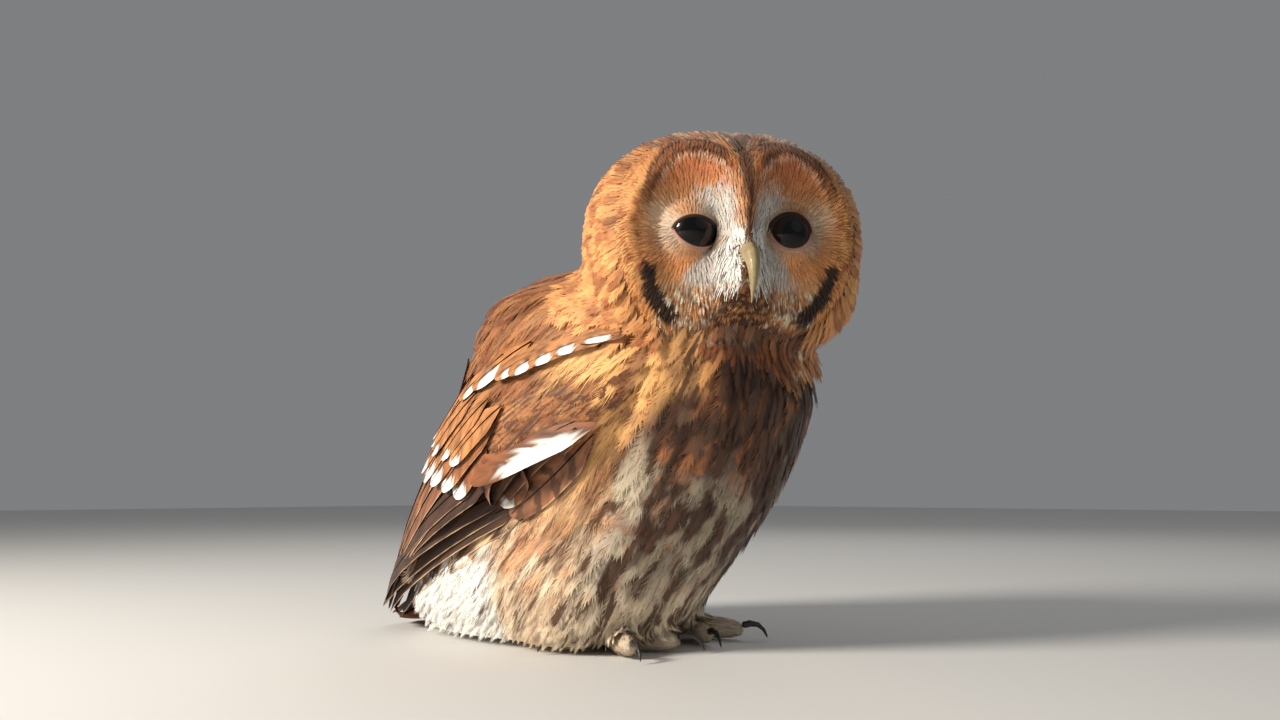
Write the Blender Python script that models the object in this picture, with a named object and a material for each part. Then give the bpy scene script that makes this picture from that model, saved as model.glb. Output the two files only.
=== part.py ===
"""A life-size tawny owl, sitting low on a flat surface with its head turned to its right.

Metres, +Z up. The body faces -Y, so the bird's right side is at -X. The forms are shaped about a working
origin on the floor between the feet, and the last step moves them so that the origin is the middle of the
bounding box at floor level.
"""

import math

import bmesh
import bpy
from mathutils import Matrix, Vector

# ---- Driving dimensions -------------------------------------------------------------------------

GAP = 0.0003  # between neighbouring pieces
WELD = 0.00002  # points nearer than this are one

HEAD_CENTRE = Vector((-0.010, -0.035, 0.1768))
HEAD_HALF_WIDTH = 0.0625
HEAD_HALF_HEIGHT = 0.0525
HEAD_HALF_DEPTH_BACK = 0.056
HEAD_BELOW_SHARE = 0.94  # the head below its centre, as a share of its half height above
HEAD_SQUARENESS = 2.4  # 2 would be an ellipse seen from the front
HEAD_TURN = math.radians(41.5)  # to the bird's right
HEAD_NOD = math.radians(10)  # bill down

FACE_FRONT = 0.047  # the face's ridge in front of the head's centre
FACE_ROUND = 0.010  # how far the round of the head would reach beyond the face that cuts it
FACE_BLEND = 0.004  # how softly the face runs into the round of the head
FACE_SLOPE = 0.24  # how fast the face falls back towards the sides
FOREHEAD_SLOPE = 0.10
CHIN_START = 0.010  # below the head's centre
CHIN_SLOPE = 0.45
BROW_RIDGE = 0.003
BROW_RIDGE_WIDTH = 0.006
DISC_CENTRE = (0.0215, 0.0060)  # each half of the facial disc, across and up from the head's centre
DISC_HALF = (0.0215, 0.0325)
DISC_DEPTH = 0.0065
RIM_HEIGHT = 0.0030
RIM_WIDTH = 0.0045
RIM_PLACE = 1.08  # as a share of the disc's half sizes

EYE_RADIUS = 0.0105
EYE_PLACE = Vector((0.0200, 0.0318, 0.0060))  # across, forward and up from the head's centre

BILL_BASE = (0.0450, -0.0020)  # forward and up from the head's centre
BILL_BEND = (0.0650, -0.0020)
BILL_TIP = (0.0570, -0.0235)
BILL_RADIUS = 0.0050
BILL_NARROWNESS = 0.76  # its width as a share of its height
BILL_TAPER = 0.90
LOWER_BILL_PLACE = (0.0500, -0.0135)  # forward and up from the head's centre
LOWER_BILL_HALF = Vector((0.0026, 0.0058, 0.0026))
LOWER_BILL_DROP = 0.002

# The trunk's level slices: height, front, back and half-width.
TRUNK_SLICES = (
    (0.000, 0.020, 0.150, 0.041),
    (0.012, 0.002, 0.162, 0.048),
    (0.035, -0.020, 0.160, 0.053),
    (0.065, -0.044, 0.144, 0.059),
    (0.095, -0.059, 0.122, 0.064),
    (0.120, -0.067, 0.113, 0.067),
    (0.142, -0.058, 0.105, 0.067),
    (0.160, -0.034, 0.091, 0.060),
    (0.174, -0.004, 0.066, 0.038),
)
TRUNK_SQUARENESS = 2.4
TRUNK_CROWDING = 0.10  # how much closer the levels lie near the floor and the shoulders
SHOULDER_CROWN = 0.003

NECK_CENTRE = Vector((-0.005, 0.000, 0.158))
NECK_HALF = Vector((0.052, 0.048, 0.032))

WING_FRONT = Vector((0.052, -0.030, 0.134))
WING_MIDDLE = Vector((0.090, 0.070, 0.132))
WING_TIP = Vector((0.013, 0.182, 0.009))
WING_HALF_WIDTH = 0.0445
WING_HALF_THICKNESS = 0.0080
WING_WRAP_RADIUS = 0.072
WING_TAPER = 0.48
WING_THINNING = 0.60
QUILLS_THINNESS = 0.72  # the flight feathers beside the coverts, as a share of the thickness
WING_LEAN = ((1.0, 0.10, 0.30), (0.0, 0.40, 0.50))  # outward at the shoulder, and what is added at the tip
COVERTS_END = 0.56  # where the coverts stop, as a share of the wing's length
SECONDARIES_END = 0.78

TAIL_BASE = Vector((0.0, 0.100, 0.048))
TAIL_BEND = Vector((0.0, 0.140, 0.010))
TAIL_TIP = Vector((0.0, 0.178, 0.0042))
TAIL_HALF_WIDTH = 0.024
TAIL_HALF_THICKNESS = 0.006
TAIL_BASE_WIDTH = 0.75  # as a share of the width at the tip
TAIL_THINNING = 0.42

THIGH_PLACE = Vector((0.032, 0.046, 0.040))
THIGH_HALF = Vector((0.025, 0.044, 0.044))

FEET_CENTRE = Vector((0.012, 0.026, 0.0))
FOOT_SPREAD = 0.026  # each foot from the feet's centre
SHANK_HALF = Vector((0.0075, 0.0085, 0.0125))
SHANK_HEIGHT = 0.0135
SHANK_LEAN = 0.014  # how far back the shank's top lies
TOE_RADIUS = 0.0056
TOE_START = 0.0033  # from the middle of the foot
TOE_TAPER = 0.12
TOE_ARCH = 0.0015
TOE_OVERRUN = 0.06  # how far the round ends pass the toe's line, as a share of it
CLAW_RADIUS = 0.0022
CLAW_NARROWNESS = 0.8
CLAW_TAPER = 0.72
CLAW_BASE = (-0.0005, 0.0014)  # ahead of the toe's end and above it
CLAW_CREST = (0.0095, 0.0062)
CLAW_REACH = 0.0125
CLAW_TIP_HEIGHT = 0.32  # of the claw's radius, above the floor
FLOOR_BITE = 0.0004  # how far a foot's round underside is cut back to a flat

RUFOUS = (0.46, 0.20, 0.07, 1)
BUFF = (0.72, 0.48, 0.27, 1)
CREAM = (0.80, 0.70, 0.58, 1)
BROWN = (0.20, 0.10, 0.05, 1)
HORN = (0.58, 0.52, 0.30, 1)
CLAW_BLACK = (0.03, 0.025, 0.022, 1)
EYE_BLACK = (0.01, 0.006, 0.005, 1)


# ---- Small tools --------------------------------------------------------------------------------


def clear_scene():
    for obj in list(bpy.data.objects):
        bpy.data.objects.remove(obj)
    for name in ("Owl", "Cutters"):
        collection = bpy.data.collections.new(name)
        bpy.context.scene.collection.children.link(collection)


def finish_of(name, colour, roughness):
    material = bpy.data.materials.new(name)
    material.use_nodes = True
    shader = material.node_tree.nodes["Principled BSDF"]
    shader.inputs["Base Color"].default_value = colour
    shader.inputs["Roughness"].default_value = roughness
    return material


def owl_piece(name, bm, material, collection="Owl"):
    """Puts a finished bmesh in the scene as one smooth-shaded object."""
    bmesh.ops.recalc_face_normals(bm, faces=bm.faces)
    if bm.calc_volume(signed=True) < 0:
        bmesh.ops.reverse_faces(bm, faces=bm.faces)
    mesh = bpy.data.meshes.new(name)
    bm.to_mesh(mesh)
    bm.free()
    mesh.materials.append(material)
    mesh.shade_smooth()
    obj = bpy.data.objects.new(name, mesh)
    bpy.data.collections[collection].objects.link(obj)
    return obj


def shaped_ball(name, segments, rings, place, material):
    """A closed form: every point of a unit ball, poles at +Z and -Z, goes to place(point)."""
    bm = bmesh.new()
    bmesh.ops.create_uvsphere(bm, u_segments=segments, v_segments=rings, radius=1)
    for vert in bm.verts:
        vert.co = place(vert.co.copy())
    return owl_piece(name, bm, material)


def room_for(obj, by=GAP):
    """A hidden copy of a piece, swollen along its normals, to cut its neighbours with."""
    bm = bmesh.new()
    bm.from_mesh(obj.data)
    bm.normal_update()
    moves = [vert.normal * by for vert in bm.verts]
    for vert, move in zip(bm.verts, moves):
        vert.co += move
    cutter = owl_piece(obj.name + ".cutter", bm, obj.data.materials[0], "Cutters")
    cutter.hide_render = True
    cutter.display_type = "WIRE"
    return cutter


def apply_boolean(obj, other, operation):
    modifier = obj.modifiers.new(operation.title(), "BOOLEAN")
    modifier.operation = operation
    modifier.object = other
    graph = bpy.context.evaluated_depsgraph_get()
    cut = bpy.data.meshes.new_from_object(obj.evaluated_get(graph))
    obj.modifiers.remove(modifier)
    bm = bmesh.new()
    bm.from_mesh(cut)
    bmesh.ops.triangulate(bm, faces=bm.faces)
    bmesh.ops.remove_doubles(bm, verts=bm.verts, dist=WELD)
    bmesh.ops.dissolve_degenerate(bm, edges=bm.edges, dist=WELD)
    bmesh.ops.triangulate(bm, faces=bm.faces)
    bm.to_mesh(cut)
    bm.free()
    obj.data = cut


def make_room(obj, *cutters):
    """Cuts the neighbours' forms, already grown by the gap, out of a piece."""
    for cutter in cutters:
        apply_boolean(obj, cutter, "DIFFERENCE")


def keep_side(obj, point, normal):
    """Keeps what lies on the normal's side of a plane, and closes the cut."""
    bm = bmesh.new()
    bm.from_mesh(obj.data)
    geometry = bm.verts[:] + bm.edges[:] + bm.faces[:]
    bmesh.ops.bisect_plane(bm, geom=geometry, dist=1e-6, plane_co=point, plane_no=normal, clear_inner=True)
    rim = [edge for edge in bm.edges if edge.is_boundary]
    bmesh.ops.holes_fill(bm, edges=rim, sides=0)
    bmesh.ops.triangulate(bm, faces=[face for face in bm.faces if len(face.verts) > 4])
    bmesh.ops.recalc_face_normals(bm, faces=bm.faces)
    bm.to_mesh(obj.data)
    bm.free()


def stand_on_floor(obj, level=0.0):
    """Cuts a piece off at floor level, which leaves the small flat that it rests on."""
    keep_side(obj, Vector((0, 0, level)), Vector((0, 0, 1)))


def bend(start, middle, end, share):
    """A point on the smooth curve from start to end that is drawn towards middle."""
    return start * (1 - share) ** 2 + middle * (2 * share * (1 - share)) + end * share**2


def bend_direction(start, middle, end, share):
    return ((middle - start) * (1 - share) + (end - middle) * share).normalized()


def full_round(along, fullness):
    """The half-width of a rounded form at a place from -1 to 1 along it, 1 at its widest."""
    return max(0.0, 1 - abs(along) ** fullness) ** (1 / fullness)


def around(point):
    """The direction of a ball's point about the ball's Z axis."""
    length = math.hypot(point.x, point.y)
    return (point.x / length, point.y / length) if length > 1e-6 else (0.0, 0.0)


# ---- Trunk and neck -----------------------------------------------------------------------------


def trunk_slice(height):
    """Front, back and half-width at a height, smoothly between the named slices."""
    heights = [row[0] for row in TRUNK_SLICES]
    above = next(k for k in range(1, len(heights)) if height <= heights[k] + 1e-9)
    share = (height - heights[above - 1]) / (heights[above] - heights[above - 1])
    near = [Vector(TRUNK_SLICES[min(max(k, 0), len(heights) - 1)][1:]) for k in range(above - 2, above + 2)]
    lead = (near[2] - near[0]) / 2
    tail = (near[3] - near[1]) / 2
    rise = near[2] - near[1]
    return near[1] + lead * share + (rise * 3 - lead * 2 - tail) * share**2 + (lead + tail - rise * 2) * share**3


def trunk_ring(height, segments):
    front, back, half_width = trunk_slice(height)
    for k in range(segments):
        angle = 2 * math.pi * k / segments
        across, ahead = math.cos(angle), math.sin(angle)
        reach = (abs(across) ** TRUNK_SQUARENESS + abs(ahead) ** TRUNK_SQUARENESS) ** (-1 / TRUNK_SQUARENESS)
        middle, half_depth = (front + back) / 2, (back - front) / 2
        yield Vector((across * reach * half_width, middle + ahead * reach * half_depth, height))


def make_trunk(material):
    """Rings of points from the flat that lies on the floor up to the shoulders."""
    segments = 18
    levels = 12
    top = TRUNK_SLICES[-1][0]
    bm = bmesh.new()
    rings = []
    for level in range(levels + 1):
        share = level / levels
        height = top * (share - TRUNK_CROWDING * math.sin(2 * math.pi * share))
        rings.append([bm.verts.new(place) for place in trunk_ring(height, segments)])
    for lower, upper in zip(rings, rings[1:]):
        for k in range(segments):
            after = (k + 1) % segments
            bm.faces.new((lower[k], lower[after], upper[after], upper[k]))
    for ring, lift in ((rings[0], 0.0), (rings[-1], SHOULDER_CROWN)):
        centre = sum((vert.co for vert in ring), Vector()) / segments
        pole = bm.verts.new(centre + Vector((0, 0, lift)))
        for k in range(segments):
            bm.faces.new((ring[k], ring[(k + 1) % segments], pole))
    return owl_piece("trunk", bm, material)


def neck_place(point):
    return NECK_CENTRE + Vector(a * b for a, b in zip(point, NECK_HALF))


def make_neck(material):
    return shaped_ball("neck", 14, 8, neck_place, material)


# ---- Head, eyes and bill ------------------------------------------------------------------------


def head_frame():
    """Takes across (to the bird's left), forward and up, from the head's centre, to the working frame."""
    turn = Matrix.Rotation(-HEAD_TURN, 4, "Z")
    nod = Matrix.Rotation(HEAD_NOD, 4, "X")
    forward_is_minus_y = Matrix(((1, 0, 0, 0), (0, -1, 0, 0), (0, 0, 1, 0), (0, 0, 0, 1)))
    return Matrix.Translation(HEAD_CENTRE) @ turn @ nod @ forward_is_minus_y


def face_surface(across, up):
    """How far forward the face stands at a place across and up from the head's centre."""
    side, height = DISC_CENTRE
    half_side, half_height = DISC_HALF
    ring = math.hypot((abs(across) - side) / half_side, (up - height) / half_height)
    dish = DISC_DEPTH * max(0.0, 1 - ring**2)
    rim = RIM_HEIGHT * math.exp(-(((ring - RIM_PLACE) * half_side / RIM_WIDTH) ** 2))
    brow = BROW_RIDGE * math.exp(-((across / BROW_RIDGE_WIDTH) ** 2))
    chin = CHIN_SLOPE * max(0.0, -up - CHIN_START)
    forehead = FOREHEAD_SLOPE * max(0.0, up)
    return FACE_FRONT - FACE_SLOPE * abs(across) - forehead - dish + rim + brow - chin


def head_place(point):
    forward, across, up = point.z, point.x, point.y
    depth = HEAD_HALF_DEPTH_BACK if forward < 0 else FACE_FRONT + FACE_ROUND
    height = HEAD_HALF_HEIGHT if up > 0 else HEAD_HALF_HEIGHT * HEAD_BELOW_SHARE
    around_face = math.hypot(across, up) or 1.0
    square = (abs(across / around_face) ** HEAD_SQUARENESS + abs(up / around_face) ** HEAD_SQUARENESS) or 1.0
    reach = square ** (-1 / HEAD_SQUARENESS)
    place = Vector((across * reach * HEAD_HALF_WIDTH, forward * depth, up * reach * height))
    face = face_surface(place.x, place.z)
    if forward > 0:
        blend = max(FACE_BLEND - abs(place.y - face), 0.0) / FACE_BLEND
        place.y = min(place.y, face) - blend * blend * FACE_BLEND / 4
    return place


def crowd_forward(point):
    """Moves a ball's rings towards its +Z pole, so that the face gets the finer mesh."""
    crowding = 1.25
    angle = math.acos(max(-1.0, min(1.0, point.z)))
    crowded = math.pi * (angle / math.pi) ** crowding
    across, up = around(point)
    return Vector((across * math.sin(crowded), up * math.sin(crowded), math.cos(crowded)))


def make_head(material):
    frame = head_frame()
    return shaped_ball("head", 30, 17, lambda p: frame @ head_place(crowd_forward(p)), material)


def eye_centre(side):
    return head_frame() @ Vector((side * EYE_PLACE.x, EYE_PLACE.y, EYE_PLACE.z))


def make_eye(name, side, material):
    centre = eye_centre(side)
    return shaped_ball(name, 14, 9, lambda p: centre + p * EYE_RADIUS, material)


def bill_path(share):
    start, middle, end = (Vector((0, *place)) for place in (BILL_BASE, BILL_BEND, BILL_TIP))
    return bend(start, middle, end, share), bend_direction(start, middle, end, share)


def upper_bill_place(point):
    """A hook, round at the base, that narrows along its curve to the tip."""
    share = (1 - point.z) / 2
    across, up = around(point)
    centre, direction = bill_path(share)
    outward = Vector((0, -direction.z, direction.y))
    radius = BILL_RADIUS * (1 - BILL_TAPER * share**1.6) * full_round(point.z, 4)
    return centre + Vector((across * radius * BILL_NARROWNESS, 0, 0)) + outward * (up * radius)


def lower_bill_place(point):
    """A small lobe along the head's forward direction, which drops a little towards its tip."""
    forward, up = LOWER_BILL_PLACE
    half = LOWER_BILL_HALF
    drop = point.z * LOWER_BILL_DROP
    return Vector((point.x * half.x, forward + point.z * half.y, up + point.y * half.z - drop))


def make_bill(material):
    frame = head_frame()
    upper = shaped_ball("bill_upper", 10, 10, lambda p: frame @ upper_bill_place(p), material)
    lower = shaped_ball("bill_lower", 8, 6, lambda p: frame @ lower_bill_place(p), material)
    return upper, lower


# ---- Wings and tail -----------------------------------------------------------------------------


def wing_frame(side, share):
    """The wing's centreline at a share of its length, with its along, outward and upward directions."""
    centre = bend(WING_FRONT, WING_MIDDLE, WING_TIP, share)
    along = bend_direction(WING_FRONT, WING_MIDDLE, WING_TIP, share)
    lean = Vector(WING_LEAN[0]) + Vector(WING_LEAN[1]) * share**2
    outward = (lean - along * lean.dot(along)).normalized()
    upward = outward.cross(along)
    if upward.z < 0:
        upward = -upward
    flip = Vector((side, 1, 1))
    return centre * flip, along * flip, outward * flip, upward * flip


def wing_half_width(share):
    return WING_HALF_WIDTH * full_round(2 * share - 1, 2.8) * (1 - WING_TAPER * share**2)


def wing_half_thickness(share):
    step = 1.0 if share < COVERTS_END else QUILLS_THINNESS
    return WING_HALF_THICKNESS * step * (1 - WING_THINNING * share) * full_round(2 * share - 1, 4)


def wing_place(point, side):
    share = (1 - point.z) / 2
    across, out = around(point)
    centre, _, outward, upward = wing_frame(side, share)
    angle = across * wing_half_width(share) / WING_WRAP_RADIUS
    wrapped = upward * math.sin(angle) - outward * (1 - math.cos(angle))
    return centre + wrapped * WING_WRAP_RADIUS + outward * (out * wing_half_thickness(share))


def part_of_wing(name, whole, side, start, end, material):
    """A stretch of the wing between two cuts across it."""
    obj = bpy.data.objects.new(name, whole.data.copy())
    bpy.data.collections["Owl"].objects.link(obj)
    obj.data.materials.clear()
    obj.data.materials.append(material)
    for share, sign in ((start, 1), (end, -1)):
        if 0 < share < 1:
            centre, along, _, _ = wing_frame(side, share)
            keep_side(obj, centre + along * (sign * GAP / 2), along * sign)


def make_wing(label, side, coat, quill, *rooms):
    """The wing's three stretches, and the room that they need."""
    whole = shaped_ball("whole_wing", 12, 16, lambda p: wing_place(p, side), coat)
    make_room(whole, *rooms)
    part_of_wing(f"wing_{label}", whole, side, 0, COVERTS_END, coat)
    part_of_wing(f"secondaries_{label}", whole, side, COVERTS_END, SECONDARIES_END, quill)
    part_of_wing(f"primaries_{label}", whole, side, SECONDARIES_END, 1, quill)
    room = room_for(whole)
    bpy.data.objects.remove(whole)
    return room


def tail_place(point):
    share = (1 - point.z) / 2
    across, up = around(point)
    centre = bend(TAIL_BASE, TAIL_BEND, TAIL_TIP, share)
    direction = bend_direction(TAIL_BASE, TAIL_BEND, TAIL_TIP, share)
    upward = Vector((0, -direction.z, direction.y))
    spread = TAIL_BASE_WIDTH + (1 - TAIL_BASE_WIDTH) * share
    width = TAIL_HALF_WIDTH * spread * full_round(point.z, 5)
    thickness = TAIL_HALF_THICKNESS * (1 - TAIL_THINNING * share) * full_round(point.z, 5)
    return centre + Vector((across * width, 0, 0)) + upward * (up * thickness)


def make_tail(material):
    tail = shaped_ball("tail", 12, 8, tail_place, material)
    room = room_for(tail)
    stand_on_floor(tail)
    return tail, room


# ---- Legs, toes and claws -----------------------------------------------------------------------

# Each toe: its direction from straight ahead, outwards positive, in degrees, and its length.
TOES = (
    ("outer", 31, 0.027),
    ("inner", -27, 0.028),
    ("side", 116, 0.019),
    ("hind", -157, 0.015),
)


def thigh_place(point, side):
    """The loose feathers round the leg, which hang to the floor."""
    away = Vector(a * b for a, b in zip(point, THIGH_HALF))
    return Vector((side * THIGH_PLACE.x, THIGH_PLACE.y, THIGH_PLACE.z)) + away


def make_thigh(label, side, material):
    thigh = shaped_ball(f"thigh_{label}", 12, 8, lambda p: thigh_place(p, side), material)
    room = room_for(thigh)
    stand_on_floor(thigh)
    return thigh, room


def toe_line(side, angle, length):
    """Where a toe starts and ends, and its level direction."""
    turn = math.radians(angle)
    direction = Vector((side * math.sin(turn), -math.cos(turn), 0))
    start = FEET_CENTRE + Vector((side * FOOT_SPREAD, 0, TOE_RADIUS - FLOOR_BITE)) + direction * TOE_START
    return start, start + direction * length, direction


def toe_place(point, side, angle, length):
    start, end, direction = toe_line(side, angle, length)
    share = (1 - point.z) / 2
    across, up = around(point)
    sideways = Vector((-direction.y, direction.x, 0))
    radius = TOE_RADIUS * full_round(point.z, 3.2) * (1 - TOE_TAPER * share)
    arch = TOE_ARCH * math.sin(math.pi * share)
    middle = start.lerp(end, share * (1 + 2 * TOE_OVERRUN) - TOE_OVERRUN)
    return middle + sideways * (across * radius) + Vector((0, 0, up * radius + arch * max(up, 0)))


def shank_place(point, side):
    """The short feathered shank from the foot up into the thigh."""
    away = Vector(a * b for a, b in zip(point, SHANK_HALF))
    lean = SHANK_LEAN * (point.z + 1) / 2
    return FEET_CENTRE + Vector((side * FOOT_SPREAD, lean, SHANK_HEIGHT)) + away


def make_foot(label, side, material):
    """The feathered shank, its toes, and the room that each of them needs."""
    foot = shaped_ball(f"foot_{label}", 8, 6, lambda p: shank_place(p, side), material)
    rooms = [room_for(foot)]
    stand_on_floor(foot)
    toes = []
    for name, angle, length in TOES:
        place = lambda p, a=angle, n=length: toe_place(p, side, a, n)
        toe = shaped_ball(f"toe_{label}_{name}", 7, 5, place, material)
        room = room_for(toe)
        stand_on_floor(toe)
        make_room(toe, *rooms)
        rooms.append(room)
        toes.append(toe)
    return [foot, *toes], rooms


def claw_place(point, side, angle, length):
    """A claw arches out of the toe's end and comes down to the floor at its point."""
    _, end, direction = toe_line(side, angle, length)
    rise = Vector((0, 0, 1))
    base = end + direction * CLAW_BASE[0] + rise * CLAW_BASE[1]
    crest = end + direction * CLAW_CREST[0] + rise * CLAW_CREST[1]
    tip = Vector((*(end + direction * CLAW_REACH).xy, CLAW_RADIUS * CLAW_TIP_HEIGHT))
    share = (1 - point.z) / 2
    across, up = around(point)
    centre = bend(base, crest, tip, share)
    ahead = bend_direction(base, crest, tip, share)
    sideways = Vector((-direction.y, direction.x, 0))
    outward = sideways.cross(ahead)
    radius = CLAW_RADIUS * (1 - CLAW_TAPER * share) * full_round(point.z, 5)
    return centre + sideways * (across * radius * CLAW_NARROWNESS) + outward * (up * radius)


def make_claws(label, side, material):
    claws = []
    for name, angle, length in TOES:
        place = lambda p, a=angle, n=length: claw_place(p, side, a, n)
        claws.append(shaped_ball(f"claw_{label}_{name}", 6, 6, place, material))
    return claws


# ---- The owl ------------------------------------------------------------------------------------


def centre_on_origin():
    """Moves the whole bird so that the origin is the middle of its box at floor level."""
    bpy.context.view_layer.update()
    pieces = bpy.data.collections["Owl"].objects
    points = [vert.co for obj in pieces for vert in obj.data.vertices]
    low = Vector(min(p[k] for p in points) for k in range(3))
    high = Vector(max(p[k] for p in points) for k in range(3))
    shift = Matrix.Translation(-Vector(((low.x + high.x) / 2, (low.y + high.y) / 2, low.z)))
    for obj in pieces:
        obj.data.transform(shift)


def main():
    clear_scene()
    coat = finish_of("coat", RUFOUS, 0.85)
    breast = finish_of("breast", BUFF, 0.90)
    pale = finish_of("pale_coat", CREAM, 0.90)
    quill = finish_of("quill", BROWN, 0.70)
    horn = finish_of("bill_horn", HORN, 0.40)
    claw_horn = finish_of("claw_horn", CLAW_BLACK, 0.30)
    glossy = finish_of("eye", EYE_BLACK, 0.05)

    head = make_head(coat)
    head_room = room_for(head)
    eyes = [make_eye("eye_right", -1, glossy), make_eye("eye_left", 1, glossy)]
    upper, lower = make_bill(horn)
    make_room(lower, room_for(upper))
    make_room(head, room_for(upper), room_for(lower), *[room_for(eye) for eye in eyes])
    neck = make_neck(coat)
    neck_room = room_for(neck)
    make_room(neck, head_room)
    trunk = make_trunk(breast)
    make_room(trunk, head_room, neck_room)
    tail, tail_room = make_tail(quill)
    make_room(trunk, tail_room)
    for label, side in (("right", -1), ("left", 1)):
        wing_room = make_wing(label, side, coat, quill, head_room, tail_room)
        thigh, thigh_room = make_thigh(label, side, pale)
        feet, foot_rooms = make_foot(label, side, pale)
        claw_rooms = [room_for(claw) for claw in make_claws(label, side, claw_horn)]
        for piece in feet:
            make_room(piece, *claw_rooms)
        make_room(thigh, *foot_rooms, wing_room, *claw_rooms)
        make_room(neck, wing_room)
        make_room(trunk, wing_room, thigh_room, *foot_rooms, *claw_rooms)
    centre_on_origin()


main()
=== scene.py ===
# %% [markdown]
# # A tawny owl, life size, as a museum would show it
# The bird sits low, leans forward and looks over its right side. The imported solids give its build: head,
# trunk, folded wings, tail, legs and toes. This lesson dresses them. One skin is drawn over all the flesh,
# and nearly fifteen thousand feathers are laid on it, each a vane of its own with its own place, lie and
# colour. Feathers could also be particle hair, but hair has no faces and is lost when a model is exported,
# so every feather here is plain mesh, worked out with arrays of numbers.

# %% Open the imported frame
import math

import bpy
import numpy as np
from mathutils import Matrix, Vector, kdtree, noise
from mathutils.bvhtree import BVHTree


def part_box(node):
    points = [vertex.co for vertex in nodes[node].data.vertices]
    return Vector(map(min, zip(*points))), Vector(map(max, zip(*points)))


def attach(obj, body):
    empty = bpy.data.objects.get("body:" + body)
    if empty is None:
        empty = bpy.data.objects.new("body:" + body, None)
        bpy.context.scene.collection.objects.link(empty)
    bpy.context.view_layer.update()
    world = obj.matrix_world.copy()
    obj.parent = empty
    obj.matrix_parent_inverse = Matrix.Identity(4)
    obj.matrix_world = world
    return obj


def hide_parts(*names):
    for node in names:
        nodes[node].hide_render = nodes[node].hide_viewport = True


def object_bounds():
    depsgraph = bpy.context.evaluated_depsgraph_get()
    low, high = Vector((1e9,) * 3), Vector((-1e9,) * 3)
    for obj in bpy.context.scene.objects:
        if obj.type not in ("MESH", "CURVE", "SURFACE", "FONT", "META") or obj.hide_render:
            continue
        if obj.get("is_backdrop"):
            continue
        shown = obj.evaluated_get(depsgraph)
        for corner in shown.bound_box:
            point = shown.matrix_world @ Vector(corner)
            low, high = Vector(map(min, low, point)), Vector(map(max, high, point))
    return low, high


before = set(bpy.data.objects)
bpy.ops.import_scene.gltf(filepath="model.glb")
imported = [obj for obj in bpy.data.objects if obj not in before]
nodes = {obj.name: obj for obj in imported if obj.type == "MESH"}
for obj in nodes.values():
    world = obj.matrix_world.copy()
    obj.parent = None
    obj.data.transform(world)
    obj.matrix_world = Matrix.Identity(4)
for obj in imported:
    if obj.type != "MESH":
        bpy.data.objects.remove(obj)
cad_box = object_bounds()
SIDES = {"left": 1, "right": -1}
MM = 0.001
chance = np.random.default_rng(7)
print("the frame has", len(nodes), "solids, and is", round(cad_box[1].z / MM), "mm high")

# %% [markdown]
# ## A few tools for many points at once
# Every feather needs directions, soft thresholds and a little unevenness. Numpy does that for thousands of
# points in one go, which is far quicker than a loop in Python, and it reads like ordinary sums.

# %% Soft steps, hills and blends
UP = np.array([0.0, 0.0, 1.0])


def unit(vectors):
    vectors = np.asarray(vectors, float)
    return vectors / np.maximum(np.linalg.norm(vectors, axis=-1, keepdims=True), 1e-12)


def rise(value, low, high):
    """0 before low, 1 after high and a smooth step between. It falls where low is the larger."""
    share = np.clip((value - low) / (high - low), 0, 1)
    return share * share * (3 - 2 * share)


def hill(value, middle, width):
    return np.exp(-(((value - middle) / width) ** 2))


def blend(first, second, share):
    """From first to second, with one share for each row. A single colour serves for all rows."""
    share = np.asarray(share, float)
    return first + (np.asarray(second) - first) * (share[..., None] if share.ndim else share)


def layered(ground, *layers):
    """A ground colour with others laid over it in turn, each given with its share."""
    for colour, share in layers:
        ground = blend(ground, colour, share)
    return ground


def mottle(points, size, layer=0):
    """Smooth unevenness from about -1 to 1, with patches of the given size."""
    shift = Vector((layer * 7.31, layer * 3.17, layer * 5.73))
    return 1.6 * np.array([noise.noise(Vector(p) / size + shift) for p in np.asarray(points).tolist()])


def any_of(count, low, high):
    return chance.uniform(low, high, count)


print("a soft step from 0 to 1 passes", rise(0.25, 0, 1), "at a quarter of its way")

# %% [markdown]
# ## The plumage's colours
# A tawny owl of the brown-red kind is painted in a few pigments: rufous, orange and gold where the light
# catches it, buff and cream below, white on brows, shoulders and vent, and a dark brown for streaks and
# bars. They are named once, so that skin and feathers share them.

# %% Pigments, as linear red, green and blue
RUFOUS = np.array([0.40, 0.135, 0.045])
ORANGE = np.array([0.62, 0.255, 0.085])
GOLD = np.array([0.80, 0.43, 0.15])
BUFF = np.array([0.72, 0.46, 0.25])
CREAM = np.array([0.82, 0.68, 0.49])
WHITE = np.array([0.90, 0.87, 0.81])
ASH = np.array([0.40, 0.33, 0.27])
BROWN = np.array([0.15, 0.062, 0.030])
SOOT = np.array([0.030, 0.014, 0.009])
DISC_RED = np.array([0.50, 0.165, 0.062])
CHEEK = np.array([0.82, 0.37, 0.13])
# The flank's gold, brightened beyond its own colour: painted light.
FLANK_GOLD_AND_PAINTED_LIGHT = np.array([0.95, 0.50, 0.18])
LID_PINK = np.array([0.50, 0.27, 0.22])
LID_DARK = np.array([0.045, 0.022, 0.016])
print("named pigments are ready")

# %% [markdown]
# ## The head's own directions
# The head is turned and nodded, so it helps to measure it in its own directions: across to the bird's left,
# forward and up. The two eyes give the first of them, and a nod of ten degrees gives the others. All places
# on the head below are then the same on both sides, in millimetres from the head's centre.

# %% Across, forward and up
HEAD_NOD = math.radians(10)
EYE_FORWARD, EYE_ABOVE = 31.8 * MM, 6.0 * MM  # the eyes' middle from the head's centre


def centre_of(node):
    low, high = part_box(node)
    return np.array((low + high) / 2)


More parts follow.
